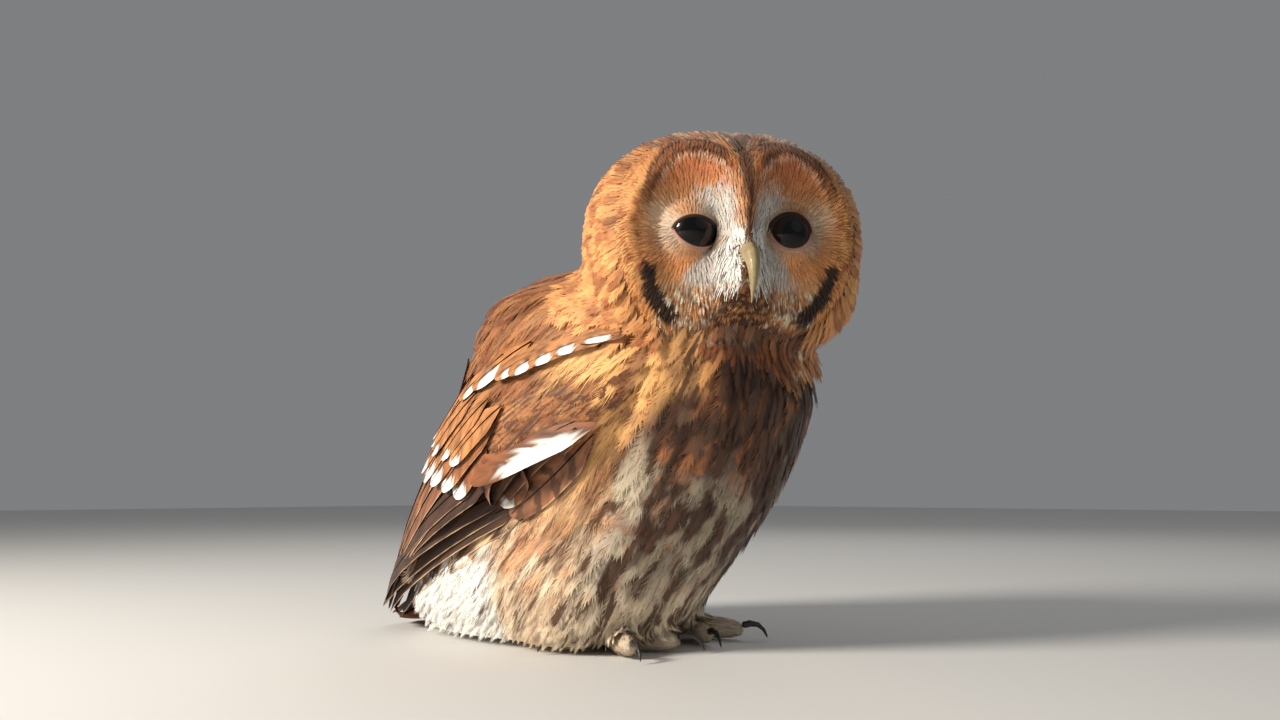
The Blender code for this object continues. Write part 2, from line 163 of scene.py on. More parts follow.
eye_centre = {label: centre_of("eye_" + label) for label in SIDES}
eye_radius = (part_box("eye_left")[1].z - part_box("eye_left")[0].z) / 2
head_across = unit(eye_centre["left"] - eye_centre["right"])
level_ahead = unit(np.cross(head_across, UP))
head_ahead = level_ahead * math.cos(HEAD_NOD) - UP * math.sin(HEAD_NOD)
head_up = UP * math.cos(HEAD_NOD) + level_ahead * math.sin(HEAD_NOD)
head_axes = np.array([head_across, head_ahead, head_up])
between_eyes = (eye_centre["left"] + eye_centre["right"]) / 2
head_centre = between_eyes - head_ahead * EYE_FORWARD - head_up * EYE_ABOVE


def in_head(points):
    """Across, forward and up from the head's centre, in millimetres."""
    local = (np.asarray(points) - head_centre) @ head_axes.T / MM
    return local[..., 0], local[..., 1], local[..., 2]


def from_head(across, ahead, up):
    """A direction or an offset given in the head's own directions."""
    parts = np.stack(np.broadcast_arrays(across, ahead, up), axis=-1)
    return parts @ head_axes


print("the head's centre is at", (head_centre / MM).round(1), "mm")

# %% [markdown]
# ## The wing's own directions
# A folded wing is a curved slab from the shoulder to the tip. A smooth line through the middle of its
# solids tells how far along the wing a place is, from 0 to 1, and a second direction tells how far above or
# below that line it lies. Rows of coverts and the fan of quills are placed in these two measures.

# %% A middle line through each wing
WING_SOLIDS = ("wing_", "secondaries_", "primaries_")
LEAN_AT_SHOULDER = np.array([1.0, 0.10, 0.30])  # outward, away from the trunk
LEAN_GAINED = np.array([0.0, 0.40, 0.50])
WING_ROUND = 72 * MM  # the radius that the folded wing wraps round
STATIONS = 81


def points_of(*names):
    return np.array([tuple(v.co) for name in names for v in nodes[name].data.vertices])


def middle_line(points, start, end, slices=12, degree=3):
    """A smooth line through the middle of some points, from near start to near end."""
    axis = end - start
    along = (points - start) @ axis / (axis @ axis)
    low, high = along.min(), along.max()
    place = (along - low) / (high - low)
    index = np.minimum((place * slices).astype(int), slices - 1)
    groups = [index == k for k in range(slices) if (index == k).any()]
    middles = [(points[group].min(0) + points[group].max(0)) / 2 for group in groups]
    fit = np.polyfit([place[group].mean() for group in groups], np.array(middles), degree)
    return np.array([[np.polyval(fit[:, k], s) for k in range(3)] for s in np.linspace(0, 1, STATIONS)])


wing_line = {}
for label, side in SIDES.items():
    cloud = points_of(*[name + label for name in WING_SOLIDS])
    shoulder = cloud[np.argmax(cloud[:, 2] - cloud[:, 1])]
    tip = cloud[np.argmax(cloud[:, 1] - cloud[:, 2])]
    wing_line[label] = middle_line(cloud, shoulder, tip)

share_line = np.linspace(0, 1, STATIONS)
lean_line = LEAN_AT_SHOULDER + LEAN_GAINED * share_line[:, None] ** 2
wing_along, wing_out, wing_rise = {}, {}, {}
for label, side in SIDES.items():
    along = unit(np.gradient(wing_line[label], axis=0))
    lean = lean_line * (side, 1, 1)
    out = unit(lean - along * (lean * along).sum(1, keepdims=True))
    across = unit(np.cross(out, along))
    wing_along[label], wing_out[label] = along, out
    wing_rise[label] = across * np.sign(across[:, 2:3])
first_point, last_point = (wing_line["right"][[0, -1]] / MM).round()
print("the right wing's middle line runs from", first_point, "to", last_point)


# %% Reading and finding places on a wing
def in_wing(points, label):
    """How far along the wing from 0 to 1, and how far above its middle line in millimetres."""
    points = np.asarray(points)
    gaps = np.linalg.norm(points[:, None] - wing_line[label][None], axis=2)
    nearest = gaps.argmin(1)
    offset = points - wing_line[label][nearest]
    return share_line[nearest], (offset * wing_rise[label][nearest]).sum(1) / MM


def at(line, share):
    """A line's value at shares of its length."""
    return np.stack([np.interp(share, share_line, line[:, k]) for k in range(3)], axis=-1)


def wing_place(label, share, above, out):
    """The place at a share of the wing's length, so many millimetres above its middle line and out from it,
    and the direction that is outwards there."""
    turn = np.asarray(above) * MM / WING_ROUND
    outward, upward = at(wing_out[label], share), at(wing_rise[label], share)
    wrapped = upward * np.sin(turn)[..., None] - outward * (1 - np.cos(turn))[..., None]
    facing = unit(outward * np.cos(turn)[..., None] + upward * np.sin(turn)[..., None])
    place = at(wing_line[label], share) + wrapped * WING_ROUND + facing * (np.asarray(out) * MM)[..., None]
    return place, facing


print("halfway, the right wing faces", wing_place("right", 0.5, 0.0, 0.0)[1].round(2))

# %% [markdown]
# ## Camera, floor and lights
# The bird stands alone on a plain pale floor under studio light. A soft light at the camera's left plays
# the low sun, a weak one opens the shaded side, and one behind the bird draws its outline. The camera looks
# up a little from the height of the belly.

# %% Camera
CAMERA_PLACE = (-0.386, -0.348, 0.072)
CAMERA_HEADING = math.radians(-50)
CAMERA_LIFT = math.radians(7)


def add_object(name, data):
    """A new object in the scene, with its data."""
    made = bpy.data.objects.new(name, data)
    bpy.context.scene.collection.objects.link(made)
    return made


camera_data = bpy.data.cameras.new("camera")
camera_data.lens = 30
camera_data.sensor_width = 36
camera_data.clip_start = 0.01
camera = add_object("camera", camera_data)
camera.location = CAMERA_PLACE
camera.rotation_euler = (math.pi / 2 + CAMERA_LIFT, 0, CAMERA_HEADING)
bpy.context.scene.camera = camera
view_ahead = np.array([-math.sin(CAMERA_HEADING), math.cos(CAMERA_HEADING), 0])
view_right = np.array([math.cos(CAMERA_HEADING), math.sin(CAMERA_HEADING), 0])
print("the camera stands", round(np.linalg.norm(CAMERA_PLACE), 2), "m from the feet")

# %% Lights and the world
middle = np.array([0, 0, cad_box[1].z / 2])


def soft_light(name, right, back, up, size, power, colour):
    """An area light that faces the bird, placed to the camera's right, towards the camera and up."""
    data = bpy.data.lights.new(name, "AREA")
    data.shape = "DISK"
    data.size = size
    data.energy = power
    data.color = colour
    lamp = add_object(name, data)
    place = middle + view_right * right - view_ahead * back + UP * up
    lamp.location = place
    lamp.rotation_euler = Vector(middle - place).to_track_quat("-Z", "Y").to_euler()


soft_light("key", -1.00, 0.60, 0.50, 0.36, 25.0, (1.0, 0.93, 0.83))
soft_light("fill", 0.90, 0.90, 0.60, 1.10, 0.7, (0.92, 0.96, 1.0))
soft_light("back", 0.30, -1.00, 0.90, 0.80, 2.5, (1.0, 0.98, 0.95))
world = bpy.data.worlds.new("studio")
world.use_nodes = True
background = world.node_tree.nodes["Background"].inputs
background["Color"].default_value = (0.80, 0.82, 0.85, 1)
background["Strength"].default_value = 0.26
bpy.context.scene.world = world
bpy.context.scene.view_settings.view_transform = "Standard"

# %% [markdown]
# ## Shader sums written as sums
# A material is a small web of nodes. Wrapping a socket in a class whose operators add Math nodes lets the
# web be written as a formula, such as `0.6 + down * 0.5`, which is easier to read than a list of links.


# %% A socket that can be added, multiplied and compared
class Formula:
    """One output socket of a material's node tree, usable in sums."""

    def __init__(self, paint, socket):
        self.paint = paint
        self.socket = socket

    def math(self, operation, other=0.0, clamp=False):
        settings = {"operation": operation, "use_clamp": clamp}
        return self.paint.node("ShaderNodeMath", settings, {0: self, 1: other})[0]

    def __add__(self, other):
        return self.math("ADD", other)

    def __sub__(self, other):
        return self.math("SUBTRACT", other)

    def __mul__(self, other):
        return self.math("MULTIPLY", other)

    def __truediv__(self, other):
        return self.math("DIVIDE", other)

    __radd__ = __add__

    def size(self):
        return self.math("ABSOLUTE")

    def wave(self):
        return self.math("SINE")

    def most(self, other):
        return self.math("MAXIMUM", other)

    def step(self, low, high):
        """0 before low and 1 after high, clamped."""
        return ((self - low) / (high - low)).math("ADD", 0, clamp=True)


class Paint:
    """A material in the making."""

    def __init__(self, name):
        self.material = bpy.data.materials.new(name)
        self.material.use_nodes = True
        self.tree = self.material.node_tree
        self.shader = self.tree.nodes["Principled BSDF"]

    def node(self, kind, settings, inputs):
        """Adds a node: its settings first, then the values or links of its inputs. Gives its outputs."""
        made = self.tree.nodes.new(kind)
        for key, value in settings.items():
            setattr(made, key, value)
        for key, value in inputs.items():
            self.feed(made.inputs[key], value)
        return [Formula(self, socket) for socket in made.outputs if socket.enabled]

    def feed(self, socket, value):
        if isinstance(value, Formula):
            self.tree.links.new(value.socket, socket)
        else:
            socket.default_value = value

    def attribute(self, name):
        """An attribute as one colour, and as three numbers."""
        colour, vector = self.node("ShaderNodeAttribute", {"attribute_name": name}, {})[:2]
        return colour, self.node("ShaderNodeSeparateXYZ", {}, {0: vector})

    def place(self):
        """Where a point lies on its object, in metres."""
        return self.node("ShaderNodeTexCoord", {}, {})[3]

    def point(self, x, y, z):
        return self.node("ShaderNodeCombineXYZ", {}, {"X": x, "Y": y, "Z": z})[0]

    def mix(self, share, first, second):
        first_colour, second_colour = 6, 7  # the Mix node's colour inputs
        inputs = {"Factor": share, first_colour: first, second_colour: second}
        return self.node("ShaderNodeMix", {"data_type": "RGBA"}, inputs)[0]

    def scaled(self, colour, by):
        return self.node("ShaderNodeVectorMath", {"operation": "SCALE"}, {"Vector": colour, "Scale": by})[0]

    def noise(self, vector, scale, detail=2.0, rough=0.5):
        inputs = {"Vector": vector, "Scale": scale, "Detail": detail, "Roughness": rough}
        return self.node("ShaderNodeTexNoise", {}, inputs)[0]

    def bump(self, height, strength, distance):
        inputs = {"Strength": strength, "Distance": distance, "Height": height}
        return self.node("ShaderNodeBump", {}, inputs)[0]

    def finish(self, values):
        for key, value in values.items():
            self.feed(self.shader.inputs[key], value)
        return self.material


def rgba(colour):
    return (*[float(c) for c in colour], 1.0)


print("shader formulas are ready")

# %% [markdown]
# ## The feather's finish
# A real vane has hundreds of barbs that run out from the shaft, and its markings are drawn across them: a
# dark streak along the shaft, bars, a pale tip. Each feather's mesh carries where a point lies on the vane,
# so one material can draw all of this on every feather. What differs from feather to feather, its ground
# colour and the strength of its marks, is stored on the mesh as well.


# %% A finish for vanes
WHOLE_WAVE = 6.283  # radians
PALE_TIP = (0.80, 0.93)  # where the pale tip begins, and where it is whole


def vane_finish(name, dark, barb_count=34.0, bar_count=4.2, roughness=0.62, contrast=0.6):
    """The finish of one kind of vane. Its last number is how strongly the barbs are painted with light and
    shade: lighter barbs, and darker gaps between them as painted shade.
    """
    paint = Paint(name)
    tone, _ = paint.attribute("tone")
    _, (across, along, seed) = paint.attribute("lie")
    _, (streak, bars, tip) = paint.attribute("mark")
    side = across.size()
    wobble = paint.noise(paint.point(across * 1.3, along * 3.0, seed * 91.0), 2.3, 3, 0.6) - 0.5
    # Barbs leave the shaft at a slant, so lines of equal shade fall back towards the edge.
    barb_line = along * barb_count - side * (barb_count * 0.33)
    barbs = paint.noise(paint.point(barb_line, across * 1.5, seed * 57.0), 1.0, 3, 0.7)
    # The streak follows the shaft and widens towards the tip.
    widening = 0.35 + along * 0.9
    on_shaft = (streak * widening - side + wobble * 0.42).step(-0.06, 0.10)
    # The bars are waves along the vane, bent back at the sides.
    ripple = (along * (bar_count * WHOLE_WAVE) - side * 2.2 + wobble * 5.0 + seed * 6.0).wave()
    on_bar = (ripple + bars * 1.5 - 1.0).step(-0.20, 0.45) * bars.step(0.0, 0.55)
    marked = on_shaft.most(on_bar * along.step(0.08, 0.25))
    ground = paint.mix(marked * 0.93, tone, rgba(dark))
    at_tip = (along + wobble * 0.22).step(*PALE_TIP) * tip
    tipped = paint.mix(at_tip, ground, rgba(WHITE))
    # The barbs are painted lighter and the gaps between them darker: painted light and shade of the barbs.
    shaded = paint.scaled(tipped, 1 - 0.5 * contrast + barbs * contrast)
    paint.finish({"Base Color": shaded, "Roughness": roughness, "Normal": paint.bump(barbs, 0.30, 0.3 * MM)})
    return paint.finish({"Sheen Weight": 0.12, "Sheen Roughness": 0.5, "Specular IOR Level": 0.28})


COAT_FINISH = vane_finish("feather_coat", BROWN * 0.55)
BREAST_FINISH = vane_finish("feather_breast", BROWN * 0.60, bar_count=5.0)
FACE_FINISH = vane_finish("feather_face", BROWN * 0.50, barb_count=12.0, contrast=0.4)
QUILL_FINISH = vane_finish("feather_quill", BROWN * 0.55, barb_count=90.0, bar_count=5.0, roughness=0.5)


# %% A finish for the skin under the feathers
def skin_finish():
    paint = Paint("skin_under_feathers")
    tone, _ = paint.attribute("tone")
    down = paint.noise(paint.place(), 900.0, 3, 0.7)
    # The skin is the coat's tone darkened: painted shade under the feathers, broken up by a fine noise for
    # the down.
    paint.finish({"Base Color": paint.scaled(tone, 0.60 + down * 0.5), "Roughness": 0.8})
    return paint.finish({"Normal": paint.bump(down, 0.5, 0.4 * MM), "Specular IOR Level": 0.2})


SKIN_FINISH = skin_finish()


# %% Finishes for horn and eyes
def horn_finish(name, pale, dark, rough, scale):
    """Horn grows in fine layers, so its colour runs in faint lines, and it is polished unevenly."""
    paint = Paint(name)
    cloud = paint.noise(paint.place(), scale, 4, 0.6)
    fine = paint.noise(paint.place(), scale * 7, 2, 0.6)
    darkness = (cloud * 1.3 + fine * 0.4 - 0.35).step(0, 1)
    paint.finish({"Base Color": paint.mix(darkness, rgba(pale), rgba(dark))})
    paint.finish({"Roughness": rough + fine * 0.15, "Normal": paint.bump(fine, 0.15, 0.2 * MM)})
    return paint.finish({"Coat Weight": 0.25, "Coat Roughness": 0.2})


BILL_FINISH = horn_finish("bill_sheath", (0.40, 0.31, 0.16), (0.22, 0.16, 0.08), 0.34, 260.0)
CLAW_FINISH = horn_finish("claw_sheath", (0.030, 0.024, 0.022), (0.010, 0.008, 0.008), 0.22, 500.0)


def eye_finish():
    """A tawny owl's iris is so dark a brown that it hardly stands out from the pupil, under a wet cornea."""
    paint = Paint("dark_eye")
    _, (from_pupil, _, _) = paint.attribute("iris")
    ring = from_pupil.step(0.52, 0.62) * from_pupil.step(1.0, 0.9)
    paint.finish({"Base Color": paint.mix(ring, rgba((0.002, 0.002, 0.003)), rgba((0.016, 0.008, 0.005)))})
    paint.finish({"Roughness": 0.3, "Specular IOR Level": 0.05})
    return paint.finish({"Coat Weight": 0.45, "Coat Roughness": 0.02})


EYE_FINISH = eye_finish()
print("finishes:", [m.name for m in bpy.data.materials if m.use_nodes])

# %% [markdown]
# ## One skin over all the flesh
# The solids are joined and remeshed as one surface, so that no seam shows, and that surface is drawn in by
# the depth of the coat: deep on the body, shallow on the face and almost nothing on the toes. Sculpting by
# hand would do too, but the remesh keeps the skin true to the solids if they change.

# %% Join and remesh the flesh
FLESH = ["head", "neck", "trunk"]
FLESH += [part + "_" + label for label in SIDES for part in ("wing", "thigh", "foot")]
FLESH += ["toe_" + label + "_" + toe for label in SIDES for toe in ("outer", "inner", "side", "hind")]
QUILL_KINDS = ("secondaries", "primaries", "tail")
QUILL_BEDS = [part + "_" + label for label in SIDES for part in ("secondaries", "primaries")] + ["tail"]
VOXEL = 1.7 * MM
CLOSING = 0.35 * MM  # the solids grow by this, which closes the gaps between them


def arrays_of(mesh):
    """A mesh's points, unit normals and triangles."""
    points = np.empty(len(mesh.vertices) * 3)
    mesh.vertices.foreach_get("co", points)
    normals = np.empty(len(mesh.vertices) * 3)
    mesh.vertices.foreach_get("normal", normals)
    mesh.calc_loop_triangles()
    triangles = np.empty(len(mesh.loop_triangles) * 3, int)
    mesh.loop_triangles.foreach_get("vertices", triangles)
    return points.reshape(-1, 3), normals.reshape(-1, 3), triangles.reshape(-1, 3)


def mesh_from(name, points, triangles):
    """A mesh of triangles, straight from arrays."""
    mesh = bpy.data.meshes.new(name)
    mesh.vertices.add(len(points))
    mesh.vertices.foreach_set("co", np.asarray(points, np.float32).ravel())
    mesh.loops.add(triangles.size)
    mesh.loops.foreach_set("vertex_index", triangles.astype(np.int32).ravel())
    mesh.polygons.add(len(triangles))
    mesh.polygons.foreach_set("loop_start", np.arange(0, triangles.size, 3, dtype=np.int32))
    mesh.polygons.foreach_set("use_smooth", np.ones(len(triangles), bool))
    mesh.update(calc_edges=True)
    return mesh


def put_vectors(mesh, name, vectors):
    """Stores three numbers for each point of a mesh, for its finish to read."""
    stored = mesh.attributes.new(name, "FLOAT_VECTOR", "POINT")
    stored.data.foreach_set("vector", vectors.astype(np.float32).ravel())


def put_tone(mesh, colours):
    """Stores a ground colour for each point of a mesh."""
    stored = mesh.attributes.new("tone", "FLOAT_COLOR", "POINT")
    with_alpha = np.hstack([colours, np.ones((len(colours), 1))])
    stored.data.foreach_set("color", with_alpha.astype(np.float32).ravel())


def joined(surfaces):
    """Pairs of points and triangles as one pair, with the triangles renumbered."""
    starts = np.cumsum([0] + [len(points) for points, _ in surfaces])
    triangles = [triangles + start for (_, triangles), start in zip(surfaces, starts)]
    return np.concatenate([points for points, _ in surfaces]), np.concatenate(triangles)


def tree_of(points, triangles):
    """A search tree, which finds the nearest place of a surface or where a ray meets it."""
    return BVHTree.FromPolygons(points.tolist(), triangles.tolist())


def ray_lengths(tree, starts, way):
    """How far a ray from each start runs until it meets the tree's surface, and nan where it misses."""
    ways = np.broadcast_to(way, starts.shape).tolist()
    lengths = [tree.ray_cast(start, ahead)[3] for start, ahead in zip(starts.tolist(), ways)]
    return np.array(lengths, float)


def remeshed(points, triangles, voxel):
    """The same surface as small, even faces: its points and triangles."""
    rough = add_object("rough", mesh_from("rough", points, triangles))
    change = rough.modifiers.new("one_surface", "REMESH")
    change.mode = "VOXEL"
    change.voxel_size = voxel
    fine = rough.evaluated_get(bpy.context.evaluated_depsgraph_get()).to_mesh()
    points, _, triangles = arrays_of(fine)
    bpy.data.objects.remove(rough)
    return points, triangles


flesh_points, flesh_faces, flesh_owner = [], [], []
for name in FLESH + QUILL_BEDS:
    points, normals, triangles = arrays_of(nodes[name].data)
    flesh_points.append(points + normals * CLOSING)
    flesh_faces.append(triangles)
    flesh_owner += [name] * len(triangles)
flesh_points, flesh_faces = joined(list(zip(flesh_points, flesh_faces)))
flesh_tree = tree_of(flesh_points, flesh_faces)
skin_points, skin_faces = remeshed(flesh_points, flesh_faces, VOXEL)
print("the skin has", len(skin_points), "points and", len(skin_faces), "triangles")

# %% Which solid each point belongs to, and how deep the coat is there
DEPTHS = {"head": 3.0, "neck": 4.0, "trunk": 4.2, "wing": 3.0, "thigh": 3.6, "foot": 0.9, "toe": 0.7}
DEPTHS.update({"secondaries": 1.8, "primaries": 1.4, "tail": 0.5})
FACE_DEPTH = 1.3
DISC_MIDDLE, DISC_HALF = (21.5, 6.0), (22.0, 33.5)  # each half of the facial disc, across and up
EYE_SIDE, EYE_UP = 20, 6  # where the disc's rays begin


def owner_of(points):
    """The kind of solid that each point lies nearest to, such as wing or toe."""
    found = [flesh_owner[flesh_tree.find_nearest(p)[2]] for p in points.tolist()]
    return np.array([name.split("_")[0] for name in found]), np.array(found)


def edges_of(triangles):
    pairs = np.concatenate([triangles[:, [0, 1]], triangles[:, [1, 2]], triangles[:, [2, 0]]])
    return np.unique(np.sort(pairs, axis=1), axis=0)


def smoothed(values, edges, rounds, strength=0.5):
    """Each value moves towards the mean of its neighbours, a few times over."""
    count = np.bincount(edges.ravel(), minlength=len(values))[:, None]
    flat = values.reshape(len(values), -1)
    for _ in range(rounds):
        total = np.zeros_like(flat)
        for k in range(flat.shape[1]):
            total[:, k] = np.bincount(edges[:, 0], flat[edges[:, 1], k], len(flat))
            total[:, k] += np.bincount(edges[:, 1], flat[edges[:, 0], k], len(flat))
        flat = flat + (total / count - flat) * strength
    return flat.reshape(values.shape)


def disc_ring(across, up):
    """How far out on its half of the facial disc a place lies: 0 at the middle, 1 on the rim."""
    return np.hypot((np.abs(across) - DISC_MIDDLE[0]) / DISC_HALF[0], (up - DISC_MIDDLE[1]) / DISC_HALF[1])


def face_share(points):
    """1 on the face, and 0 on the rest of the head."""
    across, ahead, up = in_head(points)
    inside = rise(disc_ring(across, up), 1.38, 1.16)
    middle_band = rise(np.abs(across), 13, 8) * rise(up, 42, 34) * rise(up, -34, -26)
    return np.maximum(inside, middle_band) * rise(ahead, 14, 24)


skin_kind, _ = owner_of(skin_points)
depth = np.vectorize(DEPTHS.get)(skin_kind)
facial = face_share(skin_points) * (skin_kind == "head")
depth = depth + (FACE_DEPTH - depth) * facial
skin_edges = edges_of(skin_faces)
depth = smoothed(depth, skin_edges, 8)
skin_points = smoothed(skin_points, skin_edges, 3)
flat_mesh = mesh_from("flat_skin", skin_points, skin_faces)
_, skin_normals, _ = arrays_of(flat_mesh)
skin_normals = unit(smoothed(skin_normals, skin_edges, 4))
skin_points = skin_points - skin_normals * (depth * MM)[:, None]
bpy.data.meshes.remove(flat_mesh)
print("the coat is from", depth.min().round(2), "to", depth.max().round(2), "mm deep")

# %% [markdown]
# ## Lids, folds and brows
# The skin round each eye ends in a lid: a thin rolled edge that lies on the eyeball, almond shaped on the
# side that squints into the light and rounder on the other. Each lid is a sheet that starts under its own
# edge, rolls over it and runs down the eyeball until it dives under the feathers.

# %% Lids as rings round the eyes
LID_OPEN = {"right": (9.2, 5.6), "left": (8.0, 6.6)}  # half the opening's width and height
LID_SHIFT = {"right": (-2.2, -0.6), "left": (-0.4, 0.9)}  # outwards and up, from the eyeball's middle
EYE_SPLAY = 0.10  # how far the eyes look outwards
LID_PINCH = {"right": 1.45, "left": 1.8}  # 2 is an ellipse, and less is more of an almond
LID_DROOP = {"right": 0.12, "left": 0.0}  # how far the inner corner drops, as a share of the distance across
LID_SPOKES = 56
BALL_LIMIT = 0.9  # the lid hugs the eyeball up to this share of its radius from the eye's axis,
BEND_BEYOND = 1.6  # and beyond it bends on at this steady rate
RAY_START = 0.04  # metres before the eye, where rays towards the face start
DEEPEST_HIT = -2 * MM  # a ray that lands farther back than this has missed the face
LID_TURN = np.linspace(0, 2 * math.pi, LID_SPOKES, endpoint=False)
# Each ring of the lid: how far outside the opening, and how far off the eyeball, in millimetres.
LID_RINGS = ((-0.1, -0.15), (0.0, 0.30), (0.2, 0.55), (0.5, 0.62), (0.9, 0.55), (1.4, 0.50), (2.2, 0.50))
# Beyond those the lid runs out onto the face: distance outside the opening, least distance from the eye's
# axis, and how deep under the skin the sheet lies there, in millimetres.
LID_SKIRT = ((5.0, 12.8, -0.2), (6.5, 14.2, 0.1), (8.0, 15.8, 1.3))
eye_ahead, eye_out = {}, {}
for label, side in SIDES.items():
    eye_ahead[label] = unit(from_head(side * EYE_SPLAY, 1.0, 0.0))
    eye_out[label] = unit(np.cross(eye_ahead[label], head_up)) * -side
    if (eye_out[label] @ head_across) * side < 0:
        eye_out[label] = -eye_out[label]


def lid_opening(label, beyond):
    """The opening's edge, or a line outside it, as distances out and up from the eye's axis."""
    width, height = LID_OPEN[label]
    shift_out, shift_up = LID_SHIFT[label]
    rising = np.sin(LID_TURN)
    out = np.cos(LID_TURN) * width
    up = np.sign(rising) * np.abs(rising) ** (2 / LID_PINCH[label]) * height
    away = np.hypot(out, up)
    up = up + out * LID_DROOP[label]
    return out * (1 + beyond / away) + shift_out, up * (1 + beyond / away) + shift_up


def lid_ring(label, beyond, off):
    """Points round the eye: a given distance outside the opening's edge and off the eyeball."""
    out, up = lid_opening(label, beyond)
    reach = np.hypot(out, up)
    share = reach / (eye_radius / MM)
    near = np.arcsin(np.minimum(share, BALL_LIMIT))
    angle = near + np.maximum(share - BALL_LIMIT, 0) * BEND_BEYOND
    outward = eye_out[label] * (out / reach)[:, None] + head_up * (up / reach)[:, None]
    direction = unit(outward * np.sin(angle)[:, None] + eye_ahead[label] * np.cos(angle)[:, None])
    return eye_centre[label] + direction * (eye_radius + off * MM)


face_tree = tree_of(skin_points, skin_faces)


def skirt_ring(label, beyond, least, depth):
    """Points round the eye that lie on the skin of the face, or a little under it."""
    out, up = lid_opening(label, beyond)
    reach = np.hypot(out, up)
    grow = np.maximum(reach, least) / reach * MM
    flat = eye_centre[label] + eye_out[label] * (out * grow)[:, None] + head_up * (up * grow)[:, None]
    starts = flat + eye_ahead[label] * RAY_START
    forward = RAY_START - ray_lengths(face_tree, starts, -eye_ahead[label])
    found = forward >= DEEPEST_HIT
    forward = np.interp(LID_TURN, LID_TURN[found], forward[found], period=2 * math.pi)
    forward = (np.roll(forward, 1) + forward * 2 + np.roll(forward, -1)) / 4
    return flat + eye_ahead[label] * (forward - depth * MM)[:, None]


BARE_RINGS = 4  # the rings nearest the eye that grow no feathers
lid_points, lid_faces, lid_edge_tones = [], [], []
start = len(skin_points)
lower_lid = rise(np.sin(LID_TURN), 0.1, -0.4)
for label, side in SIDES.items():
    rings = [lid_ring(label, *measures) for measures in LID_RINGS]
    rings += [skirt_ring(label, *measures) for measures in LID_SKIRT]
    for k in (0, 1):  # two rings bridge the way from the eyeball to the face
        inner, outer = rings[len(LID_RINGS) - 1 + k], rings[len(LID_RINGS) + k]
        bridge = inner + (outer - inner) * (1 / (3 - k)) + eye_ahead[label] * 0.25 * MM
        rings.insert(len(LID_RINGS) + k, bridge)
    for k, ring in enumerate(rings):
        lid_points.append(ring)
        pinkness = lower_lid * (1.0 if k >= 2 else 0.10)
        lid_edge_tones.append(blend(LID_DARK, LID_PINK, pinkness))
        if k:
            here = start + (len(lid_points) - 1) * LID_SPOKES + np.arange(LID_SPOKES)
            after = np.roll(here, -1)
            quad = (here - LID_SPOKES, after - LID_SPOKES, after, here)
            for triangle in (quad[:3], (quad[0], after, here)):
                lid_faces.append(np.stack(triangle[::-side], 1))
lid_points, lid_faces, lid_edge_tones = map(np.concatenate, (lid_points, lid_faces, lid_edge_tones))
LID_COUNT = len(rings)
print("lids:", len(lid_points), "points")

# %% [markdown]
# ## Unwrapping the skin
# Each feather later borrows the spot on this unwrap where it grows, so that a baked picture of a coat piece
# keeps neighbouring feathers' colours apart. Smart UV Project cuts the skin into flat islands by itself.

# %% The skin as an object, with its unwrap
whole_points = np.concatenate([skin_points, lid_points])
whole_faces = np.concatenate([skin_faces, lid_faces])
skin_mesh = mesh_from("skin", whole_points, whole_faces)
skin = add_object("skin", skin_mesh)
skin_mesh.uv_layers.new(name="OFBake")
bpy.context.view_layer.objects.active = skin
skin.select_set(True)
bpy.ops.object.mode_set(mode="EDIT")
bpy.ops.mesh.select_all(action="SELECT")
bpy.ops.uv.smart_project(angle_limit=math.radians(66), island_margin=0.003)
bpy.ops.object.mode_set(mode="OBJECT")
skin_uv = np.empty(len(whole_faces) * 6)
skin_mesh.uv_layers["OFBake"].data.foreach_get("uv", skin_uv)
skin_uv = skin_uv.reshape(-1, 3, 2)
_, whole_normals, _ = arrays_of(skin_mesh)
whole_normals[:len(skin_points)] = skin_normals
corners = whole_points[whole_faces]
face_normal = unit(whole_normals[whole_faces].mean(1))
face_area = np.linalg.norm(np.cross(corners[:, 1] - corners[:, 0], corners[:, 2] - corners[:, 0]), axis=1) / 2
face_middle = corners.mean(1)
face_kind, face_owner = owner_of(face_middle + face_normal * 2 * MM)
on_lid = np.arange(len(whole_faces)) >= len(skin_faces)
face_kind[on_lid], face_owner[on_lid] = "head", "head"
bare = np.zeros(len(whole_faces), bool)
for label in SIDES:  # the walls of the eye sockets grow no feathers
    bare |= np.linalg.norm(face_middle - eye_centre[label], axis=1) < eye_radius + 1.2 * MM
bare[on_lid] = (np.arange(on_lid.sum()) // (2 * LID_SPOKES)) % (LID_COUNT - 1) < BARE_RINGS
skin_tree = tree_of(whole_points, whole_faces)
for kind in DEPTHS:
    print(kind, "skin:", round(face_area[face_kind == kind].sum() * 1e4, 1), "square centimetres")

# %% [markdown]
# ## Where each colour goes
# The markings are worked out from places on the bird, once for skin and feathers alike. On the head: a
# solid rufous upper disc that fades to ash and buff round the eye, white brows and lores that make an X, a
# dark stripe from the crown to the bill, thin dark arcs on the rim and black corners below.


# %% The head's markings
# The heights at which the lores and brows are measured, then the middles and half widths of both there.
MARK_UPS = (-24, -20, -15, -10, -6, -2, 2, 10, 16, 20, 25, 30, 40)
LORE_MIDDLES = (18.5, 17.3, 15.0, 12.6, 10.0, 7.0, 4.8, 3, 3, 3, 3, 3, 3)
LORE_HALVES = (4.0, 7.0, 8.4, 9.0, 7.6, 6.0, 4.2, 0, 0, 0, 0, 0, 0)
BROW_MIDDLES = (5, 5, 5, 5, 5, 5, 5.0, 6.0, 9.0, 11.4, 11.6, 9.0, 8.0)
BROW_HALVES = (0, 0, 0, 0, 0, 0, 3.6, 4.6, 6.2, 7.2, 5.6, 2.6, 1.6)
ARC_MIDDLE, ARC_HALF = (19.0, 8.0), (22.5, 35.5)
CORNER_TOP, CORNER_BEND, CORNER_LOW, CORNER_HALF = (38.5, -10.0), (36.0, -20.0), (28.5, -29.5), 3.5


